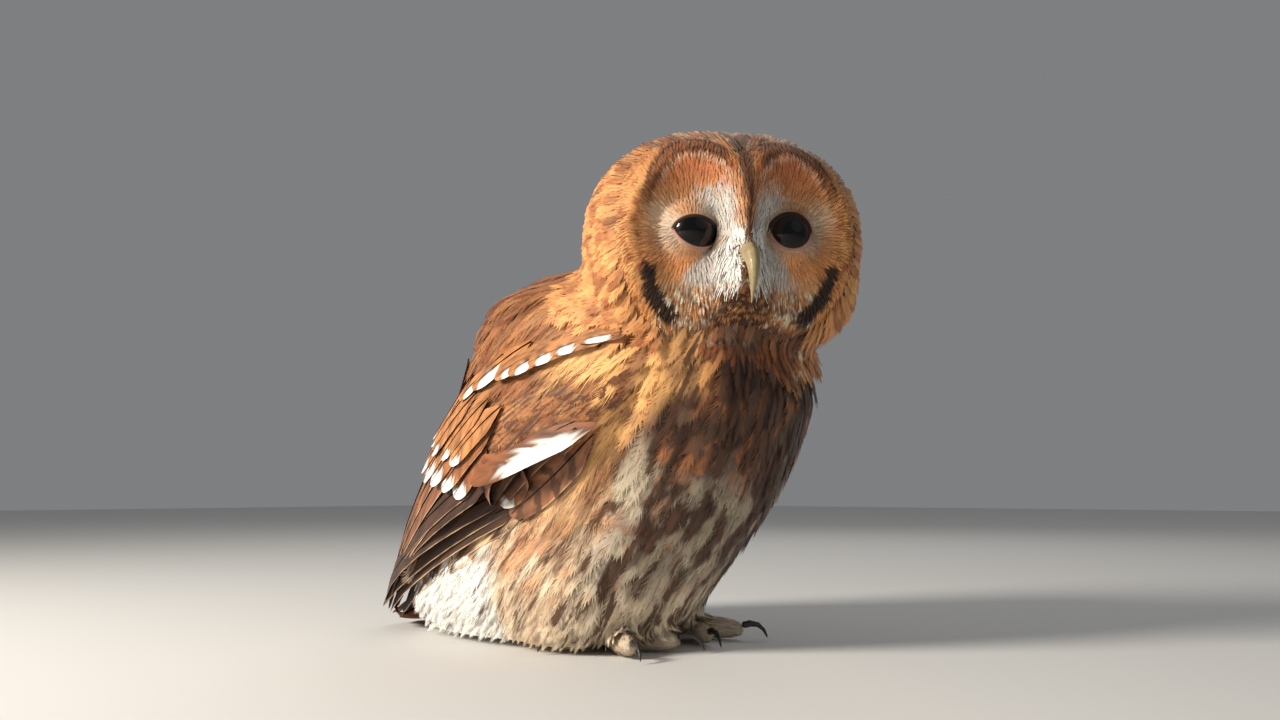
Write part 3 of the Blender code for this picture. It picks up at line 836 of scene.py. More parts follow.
def near_line(across, up, start, end):
    """Distance from a straight line between two places."""
    start, end = np.array(start), np.array(end)
    run = end - start
    share = np.clip(((across - start[0]) * run[0] + (up - start[1]) * run[1]) / (run @ run), 0, 1)
    return np.hypot(across - start[0] - share * run[0], up - start[1] - share * run[1])


def head_tone(points):
    """The ground colour of the head at each point."""
    across, ahead, up = in_head(points)
    side = np.abs(across)
    ring = np.hypot((side - ARC_MIDDLE[0]) / ARC_HALF[0], (up - ARC_MIDDLE[1]) / ARC_HALF[1])
    front = rise(ahead, 6, 20)
    fine = mottle(points, 2.2 * MM, 1)
    coarse = mottle(points, 9.0 * MM, 2)
    middling = mottle(points, 4.5 * MM, 8)
    # Crown, nape and cheeks outside the disc.
    crown = layered(
        ORANGE * 0.95,
        (RUFOUS * 0.75, rise(coarse + fine * 0.7, -0.3, 0.3)),
        (CREAM * 0.9, rise(fine + middling * 0.3, 0.35, 0.65) * rise(up, 34, 44) * 0.6),
    )
    cheek = layered(
        CHEEK * 0.88,
        (GOLD * 0.90, rise(coarse, 0.0, 0.6)),
        (RUFOUS * 0.95, rise(middling + coarse * 0.4, 0.0, 0.45) * 0.90),
    )
    # The disc, from rufous above to buff round the eye and orange below it.
    disc = layered(
        BUFF * 0.98,
        (ORANGE, rise(side, 29, 38) * 0.8),
        (ORANGE * 1.15, hill(up, -9, 9) * rise(side, 13, 21) * 0.85),
        (CREAM, hill(up, 13, 6) * rise(side, 24, 30) * rise(side, 42, 36) * 0.55),
        (ASH * 1.3, rise(np.hypot(side - EYE_SIDE, (up - EYE_UP) * 1.1), 18, 10) * 0.45),
        (ORANGE * 1.05, hill(side, 24, 5) * hill(up, 14.5, 3.0) * 0.8),
        (ORANGE * 1.5, hill(side, 21, 8) * hill(up, -8, 6) * 0.9),
        (ASH * 0.9, hill(side, 31, 4) * hill(up, 4, 5) * 0.55),
        (ORANGE * 0.95, rise(up + fine * 1.5, 15, 23) * 0.9),
        (DISC_RED * 1.15, rise(up + fine * 2.0, 19, 32)),
    )
    # The upper rim is a brown band with a pale fringe inside and two thin dark arcs, the lower a rufous line.
    upper = rise(up, 12, 26) * rise(side, 5, 8)
    band = rise(ring, 0.83, 0.86) * rise(ring, 1.0, 0.97)
    band_tone = blend(RUFOUS * 0.75, BROWN * 1.3, rise(fine, -0.2, 0.4))
    low_rim = hill(ring, 1.04, 0.026) * rise(up, 22, 12) * rise(up, -16, -8)
    tone = layered(
        cheek,
        (crown, rise(up + coarse * 3, 24, 42)),
        (disc, rise(ring + fine * 0.02, 1.03, 0.97) * front),
        (band_tone, band * upper * front * 0.85),
        (CREAM * 0.95, hill(ring + fine * 0.012, 0.81, 0.020) * rise(up, 22, 30) * front * 0.65),
        (BROWN * 0.45, hill(ring, 1.025, 0.036) * upper * front),
        (BROWN * 0.7, hill(ring, 0.90, 0.032) * upper * front * 0.9),
        (RUFOUS * 0.8, low_rim * front * 0.75),
    )
    # The white X of brows and lores, and the stripe between the brows with its orange borders.
    brow_half = np.interp(up, MARK_UPS, BROW_HALVES)
    off_brow = np.abs(side - np.interp(up, MARK_UPS, BROW_MIDDLES)) + fine * 2.4
    brow = rise(off_brow, brow_half + 3.0, brow_half - 2.6) * rise(up, 1, 6) * rise(up + middling * 3, 31, 24)
    lore_half = np.interp(up, MARK_UPS, LORE_HALVES)
    off_lore = np.abs(side - np.interp(up, MARK_UPS, LORE_MIDDLES)) + fine * 2.2
    lore = rise(off_lore, lore_half + 3.2, lore_half - 3.0) * rise(up + fine * 2, -20, -15) * rise(up, 6, 3)
    border = rise(side + fine * 1.4, 5.4, 3.0) * rise(up, 6, 12) * rise(up, 56, 44)
    width = np.interp(up, (0, 20, 34, 50, 64), (1.2, 1.7, 2.6, 5.5, 7.0))
    stripe = rise(side + fine * 0.5, width + 0.8, width - 0.4) * rise(up, -3, 2) * rise(up, 66, 54)
    brow_tone = blend(WHITE * 0.74, ORANGE * 0.95, rise(up, 18, 26) * rise(middling + fine, 0.4, 0.0))
    lore_tone = blend(WHITE * 0.64, ASH * 1.2, rise(fine + middling * 0.5, 0.1, 0.6) * 0.6)
    tone = layered(
        tone,
        (brow_tone, brow * front * 0.85),
        (lore_tone, lore * front * 0.93),
        (blend(ORANGE * 0.9, CREAM, rise(fine, 0.2, 0.6) * rise(up, 22, 30)), border * front * 0.85),
        (BROWN * 0.95, stripe * front * 0.95),
    )
    # Speckled ruff, dark chin, black corners, and below them the throat and a broken band.
    ruff = rise(up + coarse, -15, -20) * front * rise(side, 36, 30)
    chin = rise(side + middling * 5, 15, 9) * rise(up, -13, -18) * rise(up, -38, -33) * front
    off_corner = np.minimum(
        near_line(side, up, CORNER_TOP, CORNER_BEND) * 1.15, near_line(side, up, CORNER_BEND, CORNER_LOW)
    )
    off_corner = off_corner + fine * 0.9 + middling * 0.6
    throat = rise(up, -31, -36) * rise(side, 34, 22) * front
    low_band = hill(up, -38.5, 2.2) * rise(side, 30, 23) * front
    speckle = layered(
        ORANGE * 0.95,
        (CREAM, rise(fine + middling * 0.4, 0.0, 0.3)),
        (BROWN, rise(middling - fine * 0.8, 0.10, 0.40) * 0.85),
    )
    return layered(
        tone,
        (speckle, ruff),
        (blend(BROWN * 0.50, ORANGE * 0.80, rise(fine, 0.15, 0.4)), chin * 0.95),
        (SOOT, rise(off_corner, CORNER_HALF + 0.9, CORNER_HALF - 0.7) * rise(ahead, 10, 22)),
        (blend(RUFOUS * 0.7, BROWN * 0.8, rise(middling, -0.2, 0.3)), throat),
        (blend(CREAM * 0.45, SOOT * 1.5, rise(fine, -0.3, 0.1)), low_band * 0.6),
    )


print("between the eyes the head is", head_tone(between_eyes[None]).round(2)[0])


# %% Places on the body
tail_middle = centre_of("tail")
tail_along = np.array([0, 0.870, -0.493])
tail_facing = np.array([0, 0.493, 0.870])


def under_tail(points):
    """1 well below the tail's plane and 0 above it."""
    return rise(((np.asarray(points) - tail_middle) @ tail_facing) / MM, 2, -6)


def round_the_body(points):
    """The angle round the trunk in degrees: 0 at the breast, 90 at the sides and 180 at the back."""
    points = np.asarray(points)
    middle_y = np.interp(points[:, 2], (0, 0.04, 0.09, 0.14, 0.18), (0.040, 0.025, -0.012, -0.022, -0.015))
    return np.degrees(np.arctan2(np.abs(points[:, 0]), middle_y - points[:, 1]))


print("the tail's middle is at", (tail_middle / MM).round(), "mm")

# %% [markdown]
# The body is streaked below, barred and rufous above, gold on the flanks and white under the tail. The
# streaks are waves round the trunk, so they run down it in long broken lines, whatever feathers they cross.

# %% The body's markings
STREAK_GAP = 9.0  # millimetres between the dark streaks of the breast


def streaks_at(points):
    """How much of a dark streak is at each place of the underside, from about -1 to 1."""
    points = np.asarray(points)
    round_mm = np.sign(points[:, 0]) * round_the_body(points) * 0.85
    wander = mottle(points, 18 * MM, 4) * 2.2 + mottle(points, 9 * MM, 10) * 1.2
    wave = np.sin(round_mm * (2 * math.pi / STREAK_GAP) + wander)
    stretched = np.stack([round_mm / 5, points[:, 2] / MM / 16, round_mm * 0], axis=1)
    broken = mottle(stretched, 1.0, 9)
    return wave * 0.55 + broken * 0.9


def breast_edge(height):
    """The turn at which the breast's markings give way to the flank's, for heights in millimetres."""
    return np.interp(height, (8, 34, 60, 88, 112), (40, 43, 46, 49, 34))


def body_tone(points):
    """The ground colour of neck, trunk and legs at each point."""
    points = np.asarray(points)
    height, back = points[:, 2] / MM, points[:, 1] / MM
    turn = round_the_body(points)
    fine = mottle(points, 5 * MM, 3)
    middling = mottle(points, 9 * MM, 10)
    coarse = mottle(points, 18 * MM, 4)
    # Dark streaks run down the underside, long and narrow, and crowd together on the chest.
    streaks = streaks_at(points) + fine * 0.15
    # The chest's dark brown ground and black streaks are partly its own colour and partly painted shade.
    chest = layered(
        BROWN * 0.80,
        (RUFOUS * 1.55, rise(fine * 0.8 + coarse * 0.5, 0.0, 0.35) * 0.85),
        (SOOT * 1.4, rise(streaks, -0.05, 0.25) * 0.88),
    )
    breast = layered(
        CREAM * 0.80,
        (ASH * 1.6, rise(coarse, -0.2, 0.5) * 0.7),
        (ORANGE * 0.75, rise(fine + coarse * 0.5, 0.2, 0.5) * 0.6),
        (BROWN * 0.50, rise(streaks, -0.20, 0.02) * 0.96),
        (chest, rise(height + coarse * 8, 66, 94) * 0.92),
    )
    # The front of the breast is darkened by up to nearly a half: painted shade.
    breast = breast * (1 - 0.45 * rise(turn, 44, 22) * rise(height, 12, 45))[:, None]
    # Flanks, from cream low down to gold under the shoulder, brightened there by painted light, and the
    # rufous back.
    flank = layered(
        BUFF * 0.98,
        (CREAM, rise(coarse + fine * 0.5, -0.2, 0.4)),
        (GOLD * 0.98, rise(height + coarse * 16, 50, 86) * 0.9),
        (ORANGE * 0.95, rise(middling + coarse * 0.5, 0.05, 0.5) * 0.75),
        (BROWN * 2.0, rise(streaks, 0.30, 0.55) * 0.75),
        # High under the shoulder the flank's own gold is brightened as painted light, to make up for the
        # shadow the head casts there.
        (FLANK_GOLD_AND_PAINTED_LIGHT, rise(height, 72, 92) * rise(streaks + fine, 0.9, 0.2) * 0.85),
    )
    mantle = layered(
        ORANGE * 0.62,
        (RUFOUS * 0.50, rise(coarse + fine, -0.3, 0.5)),
        (GOLD * 0.58, rise(middling + fine * 0.4, 0.25, 0.6) * 0.7),
    ) * (0.92, 0.82, 0.80)
    below = under_tail(points)
    front_edge = breast_edge(height)
    back_edge = np.interp(height, (80, 100, 125), (110, 88, 78))
    back_share = rise(turn + coarse * 6, back_edge - 9, back_edge + 9) * rise(height, 52, 78)
    return layered(
        breast,
        (flank, rise(turn + coarse * 5, front_edge - 7, front_edge + 7)),
        (mantle, back_share),
        (CREAM, rise(height + coarse * 6, 44, 14) * 0.7),
        (WHITE, rise(back + coarse * 4, 14, 32) * rise(height + coarse * 4, 60, 44) * below),
        (mantle, rise(back, 20, 34) * (1 - below)),
    )


def foot_tone(points):
    return blend(CREAM * 0.95, ASH * 1.5, rise(mottle(points, 3 * MM, 5), 0.0, 0.6) * 0.5)


# The skin under the quills is painted dark brown with a little rufous: painted shade between the quills.
def shade_under_quills(points):
    return blend(BROWN * 0.7, RUFOUS * 0.6, rise(mottle(points, 6 * MM, 11), -0.3, 0.5))


def wing_tone(points):
    fine = mottle(points, 4 * MM, 6)
    coarse = mottle(points, 13 * MM, 7)
    return layered(
        ORANGE * 0.68,
        (RUFOUS * 0.60, rise(coarse + fine * 0.6, -0.3, 0.5)),
        (BROWN * 1.3, rise(fine + coarse * 0.3, 0.15, 0.5) * 0.6),
        (GOLD * 0.8, rise(coarse * 0.4 - fine, 0.35, 0.7) * 0.7),
    ) * (0.92, 0.87, 0.90)


def by_kind(values, points, kinds, rules):
    """Puts the value of its own rule wherever a kind of solid has one."""
    for kind, rule in rules.items():
        here = kinds == kind
        if here.any():
            values[here] = rule(points[here])
    return values


TONE_RULES = {"head": head_tone, "wing": wing_tone, "foot": foot_tone, "toe": foot_tone}
TONE_RULES.update({kind: shade_under_quills for kind in QUILL_KINDS})


def tone_at(points, kinds):
    """The bird's ground colour at any points of its skin."""
    return by_kind(body_tone(points), points, kinds, TONE_RULES)


print("low on the breast the ground is", body_tone(np.array([[0.0, -0.06, 0.05]])).round(2)[0])

# %% Paint the skin
lid_tone = head_tone(lid_points)
on_edge = np.tile(np.repeat(np.arange(LID_COUNT) <= BARE_RINGS, LID_SPOKES), len(SIDES))
lid_tone[on_edge] = lid_edge_tones[on_edge]
skin_tone = np.concatenate([tone_at(skin_points, skin_kind), lid_tone])
put_tone(skin_mesh, skin_tone)
skin_mesh.materials.append(SKIN_FINISH)
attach(skin, "root")
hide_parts(*FLESH)
print("the skin is painted")

# %% [markdown]
# ## How the plumage lies
# Feathers lie like tiles: over the crown and down the back, down the breast, along the wing, along the
# toes, and outwards like rays round each eye. One rule for each part gives the direction at any place, and
# the surface then bends it so that it runs along the skin.


# %% The lie of the feathers
def head_lie(points):
    """Rays round the eyes, back over the crown, up and down on the ridge, and down at the throat."""
    across, ahead, up = in_head(points)
    side, sign = np.abs(across), np.where(across < 0, -1.0, 1.0)
    rays = unit(from_head(sign * (side - EYE_SIDE), 0, up - EYE_UP))
    back = unit(from_head(sign * 0.30, -1.0, np.interp(up, (-30, 0, 40), (-1.1, -0.45, 0.0))))
    lie = blend(back, rays, rise(disc_ring(across, up), 1.22, 1.02) * rise(ahead, 8, 20))
    ridge_up = unit(from_head(sign * 0.22, 0.1, 1.0))
    ridge_down = unit(from_head(sign * 0.55, 0.25, -1.0))
    ridge = rise(side, 14, 9) * rise(ahead, 20, 28) * rise(up, 44, 34) * rise(up, -30, -24)
    lie = blend(lie, blend(ridge_down, ridge_up, rise(up, 2, 8)), ridge)
    throat = rise(up, -24, -32) * rise(ahead, 0, 15)
    return unit(blend(lie, np.array([0, 0.15, -1.0]), throat))


def body_lie(points):
    """Back and down, most steeply at the breast."""
    turn = round_the_body(points)
    steep = np.interp(turn, (0, 50, 90, 130, 180), (1.6, 1.25, 0.95, 0.9, 0.85))
    inward = -np.sign(points[:, 0]) * np.interp(turn, (0, 40, 110, 180), (0.0, 0.05, 0.05, 0.12))
    return unit(np.stack([inward, np.ones(len(points)), -steep], axis=1))


def wing_lie(points):
    """Along the wing, and drooping near the shoulder."""
    lie = np.empty((len(points), 3))
    for label, side in SIDES.items():
        here = points[:, 0] * side >= 0
        if here.any():
            share, _ = in_wing(points[here], label)
            droop = np.interp(share, (0, 0.3, 1), (0.55, 0.20, 0.0))
            lie[here] = unit(at(wing_along[label], share) - at(wing_rise[label], share) * droop[:, None])
    return lie


toe_ends = {name: centre_of(name) for name in nodes if name.startswith("claw_")}
toe_ways = {name: end - centre_of("foot_" + name.split("_")[1]) for name, end in toe_ends.items()}


def toe_lie(points):
    """Away from the shank, towards the nearest claw."""
    nearest = [min(toe_ends, key=lambda name: np.linalg.norm(p - toe_ends[name])) for p in points]
    ways = np.array([toe_ways[name] for name in nearest])
    return unit(ways * (1, 1, 0) - UP * 0.012)


def lie_at(points, kinds):
    return by_kind(body_lie(points), points, kinds, {"head": head_lie, "wing": wing_lie, "toe": toe_lie})


print("on the brow the coat lies along", head_lie(between_eyes[None] + head_up * 20 * MM).round(2)[0])

# %% [markdown]
# ## Placing roots evenly
# Feathers grow at even distances, without being in line. Many random spots are drawn on the skin, and each
# one that is kept clears a small circle round itself. That is Poisson disc sampling, and a k-d tree finds
# the neighbours quickly.


# %% Scatter roots over chosen triangles
def scatter(chosen, spacing, crowd=5):
    """Roots on the chosen triangles. The spacing, in metres, is one number for each chosen triangle."""
    faces = np.flatnonzero(chosen)
    spacing = np.broadcast_to(spacing, len(face_middle))[faces]
    weight = face_area[faces] / spacing**2
    count = int(weight.sum() * crowd)
    pick = chance.choice(len(faces), count, p=weight / weight.sum())
    first, second = np.sqrt(chance.random(count)), chance.random(count)
    shares = np.stack([1 - first, first * (1 - second), first * second], 1)
    spots = (corners[faces[pick]] * shares[:, :, None]).sum(1)
    tree = kdtree.KDTree(count)
    for k, spot in enumerate(spots.tolist()):
        tree.insert(spot, k)
    tree.balance()
    free = np.ones(count, bool)
    kept = []
    for k, spot in enumerate(spots.tolist()):
        if free[k]:
            kept.append(k)
            for _, other, _ in tree.find_range(spot, spacing[pick[k]]):
                free[other] = False
    kept = np.array(kept)
    triangle = faces[pick[kept]]
    uv = (skin_uv[triangle] * shares[kept][:, :, None]).sum(1)
    return {"place": spots[kept], "normal": face_normal[triangle], "kind": face_kind[triangle], "uv": uv}


def thinned(roots, keep):
    """The same roots, less those that aren't kept."""
    return {key: value[keep] for key, value in roots.items()}


print("the skin has", round(face_area.sum() * 1e4), "square centimetres to grow feathers on")

# %% [markdown]
# ## Laying a shaft along the body
# A feather's shaft starts in the skin, follows the lie of the coat and rises slowly, so that its tip ends
# on top of the feathers behind it. The walk goes step by step: a step along the lie, then a look at how
# high above the skin it has come, and a correction towards the height that it should have.


# %% Walk each shaft over the skin
def touch(points):
    """The nearest point of the skin, its normal and its kind."""
    found = [skin_tree.find_nearest(p) for p in points.tolist()]
    index = np.array([triangle for _, _, triangle, _ in found])
    return np.array([tuple(place) for place, _, _, _ in found]), face_normal[index], face_kind[index]


def walk(roots, length, height, steps=5, sway=0.12, cling=0.75, follow=0.6, lie=None, start=0.1 * MM):
    """Shaft lines from the roots: points and the skin's normals at each step. Cling is how fast a shaft comes
    back to its height, and follow how fast it turns with the coat. A lie of its own can be given."""
    place, normal = roots["place"], roots["normal"]
    direction = lie if lie is not None else lie_at(place, roots["kind"])
    direction = direction + chance.normal(0, sway, direction.shape)
    direction = unit(direction - normal * (direction * normal).sum(1, keepdims=True))
    stride = (np.asarray(length) / steps) * np.ones(len(place))
    lines, normals = [place + normal * start], [normal]
    here = lines[0]
    for k in range(1, steps + 1):
        ahead = here + direction * stride[:, None]
        surface, facing, kind = touch(ahead)
        wanted = start + (np.asarray(height) - start) * (k / steps) ** 0.8
        above = ((ahead - surface) * facing).sum(1)
        gap = above - wanted
        target = np.where(gap < 0, wanted, wanted + gap * (1 - cling))
        here = ahead + facing * (target - above)[:, None]
        step = unit(here - lines[-1])
        here = lines[-1] + step * stride[:, None]
        flow = lie_at(surface, kind) if lie is None else direction
        flow = unit(flow - facing * (flow * facing).sum(1, keepdims=True))
        direction = unit(blend(step, flow, follow * 0.5))
        lines.append(here)
        normals.append(unit(blend(normals[-1], facing, 0.6)))
    return np.stack(lines, 1), np.stack(normals, 1)


print("the skin nearest to the head's middle is at", (touch(head_centre[None])[0][0] / MM).round(), "mm")


# %% [markdown]
# ## The vane
# A vane is cut into narrow blades, the barbs, which leave the shaft at an angle and end on the feather's
# outline. Body feathers have free, pointed blades that fray; quills have blades that hold together as one
# sheet. Near the shaft all blades hold together, and only their ends are free. The pattern is worked out
# once on a flat feather and then bent onto every shaft.


# %% Blades of one flat feather
def leaf(bend, power):
    """An outline that swells from the root and narrows again to the tip."""
    return lambda y: np.sin(math.pi * np.clip(y, 0, 1) ** bend) ** power


def strap(base, power, shoulder):
    """An outline with even sides from the base to the shoulder, and a round tip."""

    def outline(y):
        past = np.clip((y - shoulder) / (1 - shoulder), 0, 1)
        return np.minimum(1, (y / base) ** power) * np.sqrt(1 - past**2)

    return outline


ROUND, SLIM = leaf(1.25, 0.62), leaf(0.9, 0.9)
QUILL_SHAPE, COVERT_SHAPE = strap(0.12, 0.6, 0.82), strap(0.3, 0.5, 0.66)
WEB_COLUMNS = (0.82, 0.90, 1.0)  # where a closed vane has points, as shares of the way to its outline
SHAFT_HALF, SHAFT_CREST = 0.045, 0.10  # the shaft's half width and height, as shares of the half vane


def vane(blades, outline, sweep=0.22, sheet=0.62, closed=False, shaft=0):
    """The flat pattern: across from -1 to 1, along from 0 to 1, lift, how free each point is, and triangles.
    The sheet is how far out the blades hold together, and the sweep how far they run towards the tip."""
    table, faces = [], []  # each row of the table is across, along, lift and free

    def put(*row):
        table.append(row)
        return len(table) - 1

    cuts = np.linspace(0, 1, blades + 1)
    foot = cuts * (1 - 0.30 * sweep)  # where the blades leave the shaft
    edge = sweep * 1.05 + (1 - sweep * 1.05) * cuts  # where they reach the outline
    reach = outline(edge)
    stem = [put(0, y, 0, 0) for y in foot]
    for side in (-1, 1):
        middle = foot * (1 - sheet) + edge * sheet - 0.10 * sweep
        web = [put(side * reach[k] * sheet, middle[k], 0, 0.15) for k in range(blades + 1)]
        for k in range(blades):
            rings = [(stem[k], stem[k + 1], web[k + 1]), (stem[k], web[k + 1], web[k])]
            if not closed:
                tip = put(side * (reach[k] + reach[k + 1]) / 2, (edge[k] + edge[k + 1]) / 2, 0.02, 1.0)
                rings.append((web[k], web[k + 1], tip))
            faces += [ring[::side] for ring in rings]
        for column in WEB_COLUMNS if closed else ():
            rim = foot + (edge - foot) * column
            rim = [put(side * reach[k] * column, rim[k], 0, 0.2) for k in range(blades + 1)]
            for k in range(blades):
                faces += [(web[k], web[k + 1], rim[k + 1])[::side], (web[k], rim[k + 1], rim[k])[::side]]
            web = rim
    for k in range(shaft + 1 if shaft else 0):
        taper = 1 - 0.75 * k / shaft
        a = put(-SHAFT_HALF * taper, k / shaft * 0.97, 0.005, 0) - 3
        put(0, k / shaft * 0.97, SHAFT_CREST * taper, 0)
        put(SHAFT_HALF * taper, k / shaft * 0.97, 0.005, 0)
        if k:
            faces += [(a, a + 1, a + 4), (a, a + 4, a + 3), (a + 1, a + 2, a + 5), (a + 1, a + 5, a + 4)]
    across, along, lift, free = np.array(table, float).T
    faces = np.array(faces, int)[:, ::-1]
    return {"across": across, "along": np.clip(along, 0, 1), "lift": lift, "free": free, "faces": faces}


PATTERNS = {
    "bristle": vane(2, SLIM, 0.50, sheet=0.50),
    "down": vane(3, SLIM, 0.50, sheet=0.40),
    "tiny": vane(4, SLIM, 0.34, sheet=0.50),
    "small": vane(12, ROUND, 0.40, sheet=0.50),
    "contour": vane(22, ROUND, 0.40, sheet=0.50),
    "plume": vane(26, SLIM, 0.50, sheet=0.40),
    "covert": vane(26, COVERT_SHAPE, 0.20, sheet=0.40, closed=True, shaft=8),
    "shaftless": vane(30, COVERT_SHAPE, 0.20, sheet=0.30, closed=True),
    "quill": vane(40, QUILL_SHAPE, 0.10, sheet=0.45, closed=True, shaft=14),
}
for name, pattern in PATTERNS.items():
    print("a", name, "feather has", len(pattern["faces"]), "triangles")


# %% [markdown]
# ## Coat pieces
# A coat piece gathers the feathers of one region and becomes one mesh. Each feather's patch on the unwrap
# is a small square at its root, and its place on the vane, its marks and its colour go along as attributes.


# %% Gather feathers into pieces
UV_PATCH = 0.003  # each soft feather's share of the unwrap's width
LAST_BEFORE_TAIL_END = 0.036  # metres past the tail's middle, where the last soft feathers may end
coats = {}


def marks(*columns):
    """The strengths of streak, bars and pale tip, one row for each feather."""
    return np.stack(np.broadcast_arrays(*columns), axis=1).astype(float)


def bend_onto(pattern, lines, normals, half_width, fray=0.12, camber=0.35, roll=0.15, ruffle=0.10, tilt=0.0):
    """The pattern's points on every shaft, as feathers by points by three, and which way the body faces
    there. Fray shifts the free ends, camber bends the edges down, and roll and tilt turn a vane."""
    count, stations = lines.shape[:2]
    size = len(pattern["across"])
    along = pattern["along"] + chance.normal(0, fray * 0.35, (count, size)) * pattern["free"] * 0.5
    along = np.clip(along, 0, 1.05)
    across = pattern["across"] * (1 + chance.normal(0, fray, (count, size)) * pattern["free"])
    spot = np.clip(along, 0, 0.99999) * (stations - 1)
    index = spot.astype(int)
    share = (spot - index)[..., None]
    rows = np.arange(count)[:, None]
    tangent = np.gradient(lines, axis=1)
    side = unit(np.cross(tangent, normals))

    def read(values):
        return values[rows, index] * (1 - share) + values[rows, index + 1] * share

    width = np.asarray(half_width)[:, None] * np.ones((count, size))
    tilt = (tilt + chance.normal(0, roll, (count, 1))) * across
    drop = camber * across**2
    rough_lift = chance.normal(0, ruffle, (count, size)) * pattern["free"]
    lift = (pattern["lift"] + tilt - drop + rough_lift) * width
    over = np.maximum(along - 1, 0) * np.linalg.norm(lines[:, -1] - lines[:, 0], axis=1)[:, None]
    points = read(lines) + read(side) * (across * width)[..., None] + read(normals) * lift[..., None]
    points = points + unit(read(tangent)) * over[..., None]
    return points, across, along, read(normals)


def add_feathers(coat, pattern, points, across, along, facing, tone, mark, uv, patch=UV_PATCH):
    """Puts bent feathers into a coat piece. Tone is a colour for each of their points."""
    count, size = across.shape
    seed = chance.random((count, 1)) * np.ones((1, size))
    faces = pattern["faces"][None] + (np.arange(count) * size)[:, None, None]
    patch_uv = uv[:, None] + np.stack([across * 0.5, along - 0.5], -1) * patch
    coats.setdefault(coat, []).append(
        {
            "points": points.reshape(-1, 3),
            "faces": faces.reshape(-1, 3),
            "uv": patch_uv.reshape(-1, 2),
            "lie": np.stack([across, along, seed], -1).reshape(-1, 3),
            "mark": np.repeat(mark, size, axis=0),
            "tone": tone.reshape(-1, 3),
            "facing": facing.reshape(-1, 3),
        }
    )


def dress(coat, kind_of_vane, roots, length, width, height, streak, bars, shape, tone=None, brighten=0.12,
          crisp=0.0, stray=0.0, keep_off=(), **walking):
    """Grows feathers at the roots and gives their number. The width is half a vane's, as a share of its
    length. Crisp lets markings run within a feather, and stray makes their borders ragged. Feathers that
    would end on a kind of solid in keep_off, or on the wing's fan, are left out."""
    half_width, mark = length * width, marks(streak + 0 * length, bars, 0)
    lines, normals = walk(roots, length, height, **walking)
    if keep_off:
        stays = (lines[:, -1] - tail_middle) @ tail_along < LAST_BEFORE_TAIL_END
        for ends in (lines[:, -1], lines[:, -2]):
            stays &= ~np.isin(touch(ends)[2], keep_off) & ~over_fan(ends)
        lines, normals, roots = lines[stays], normals[stays], thinned(roots, stays)
        half_width, mark = half_width[stays], mark[stays]
    count = len(roots["place"])
    astray = chance.normal(0, 1, (count, 1, 3)) * stray
    if tone is None:
        tone = tone_at(lines[:, -2] + astray[:, 0], roots["kind"])
    pattern = PATTERNS[kind_of_vane]
    points, across, along, facing = bend_onto(pattern, lines, normals, half_width, **shape)
    tone = np.repeat(tone[:, None], across.shape[1], axis=1)
    if crisp:
        kinds = np.repeat(roots["kind"], across.shape[1])
        local = tone_at((points + astray).reshape(-1, 3), kinds).reshape(tone.shape)
        tone = tone + (local - tone) * crisp
    # Each feather has its own brightness, and is darker at its root, where its neighbours shade it.
    tone = tone * (1 + chance.normal(0, brighten, (count, 1, 1)))
    tone = np.clip(tone * (0.72 + 0.36 * np.clip(along, 0, 1))[..., None], 0.004, 0.95)
    add_feathers(coat, pattern, points, across, along, facing, tone, mark, roots["uv"])
    return count


print("a bold streak, weak bars and no pale tip are written", marks([0.9], 0.2, 0))


# %% [markdown]
# ## The face
# The disc's feathers are the smallest: fine rays round each eye, three to six millimetres long. Bristles
# and a bridge of thin feathers cover the base of the bill. Round the disc the feathers of crown and cheeks
# stand up a little, so that the face lies in a shallow dish.

# %% Rays of the facial disc
across_f, ahead_f, up_f = in_head(face_middle)
disc_f = face_share(face_middle) > 0.5
ring_f = disc_ring(across_f, up_f)
head_f = face_kind == "head"
from_eye_f = np.hypot(np.abs(across_f) - EYE_SIDE, up_f - EYE_UP)
disc_spacing = np.interp(from_eye_f, (8, 20, 34), (0.80, 1.0, 1.25)) * MM
roots = scatter(head_f & disc_f & ~bare, disc_spacing)
across, _, up = in_head(roots["place"])
count = len(across)
from_eye = np.hypot(np.abs(across) - EYE_SIDE, up - EYE_UP)
reach = np.interp(from_eye, (8, 20, 34), (3.4, 6.0, 6.5))
reach = reach * np.interp(disc_ring(across, up), (0.7, 1.0), (1, 0.62)) * any_of(count, 0.8, 1.2) * MM
lift = any_of(count, 0.45, 0.85) * MM
dress(
    "coat_face", "tiny", roots, reach, 0.11, lift, 0.05 * any_of(count, 0, 1), 0,
    steps=3, sway=0.06, crisp=0.7, brighten=0.11, stray=0.65 * MM,
    shape={"fray": 0.2, "camber": 0.2, "roll": 0.06, "ruffle": 0.04},
)
print("disc feathers:", count)

# %% Bristles round the bill
near_bill_f = head_f & (np.abs(across_f) < 9) & (up_f > -15) & (up_f < 1) & (ahead_f > 26)
roots = scatter(near_bill_f, 1.0 * MM)
across, _, up = in_head(roots["place"])
count = len(across)
reach = any_of(count, 6, 10) * MM
dark = rise(np.abs(across), 2.6, 1.2) * rise(up, -12, -4)
bristle_tone = blend(WHITE, BROWN * 0.8, np.maximum(dark * 0.7, chance.random(count) < 0.08))
dress(
    "coat_bristles", "bristle", roots, reach, 0.030, any_of(count, 1.0, 2.4) * MM,
    0, 0, tone=bristle_tone, steps=4, sway=0.14,
    shape={"fray": 0.1, "camber": 0.1, "roll": 0.3, "ruffle": 0.05},
)
print("bristles:", count)

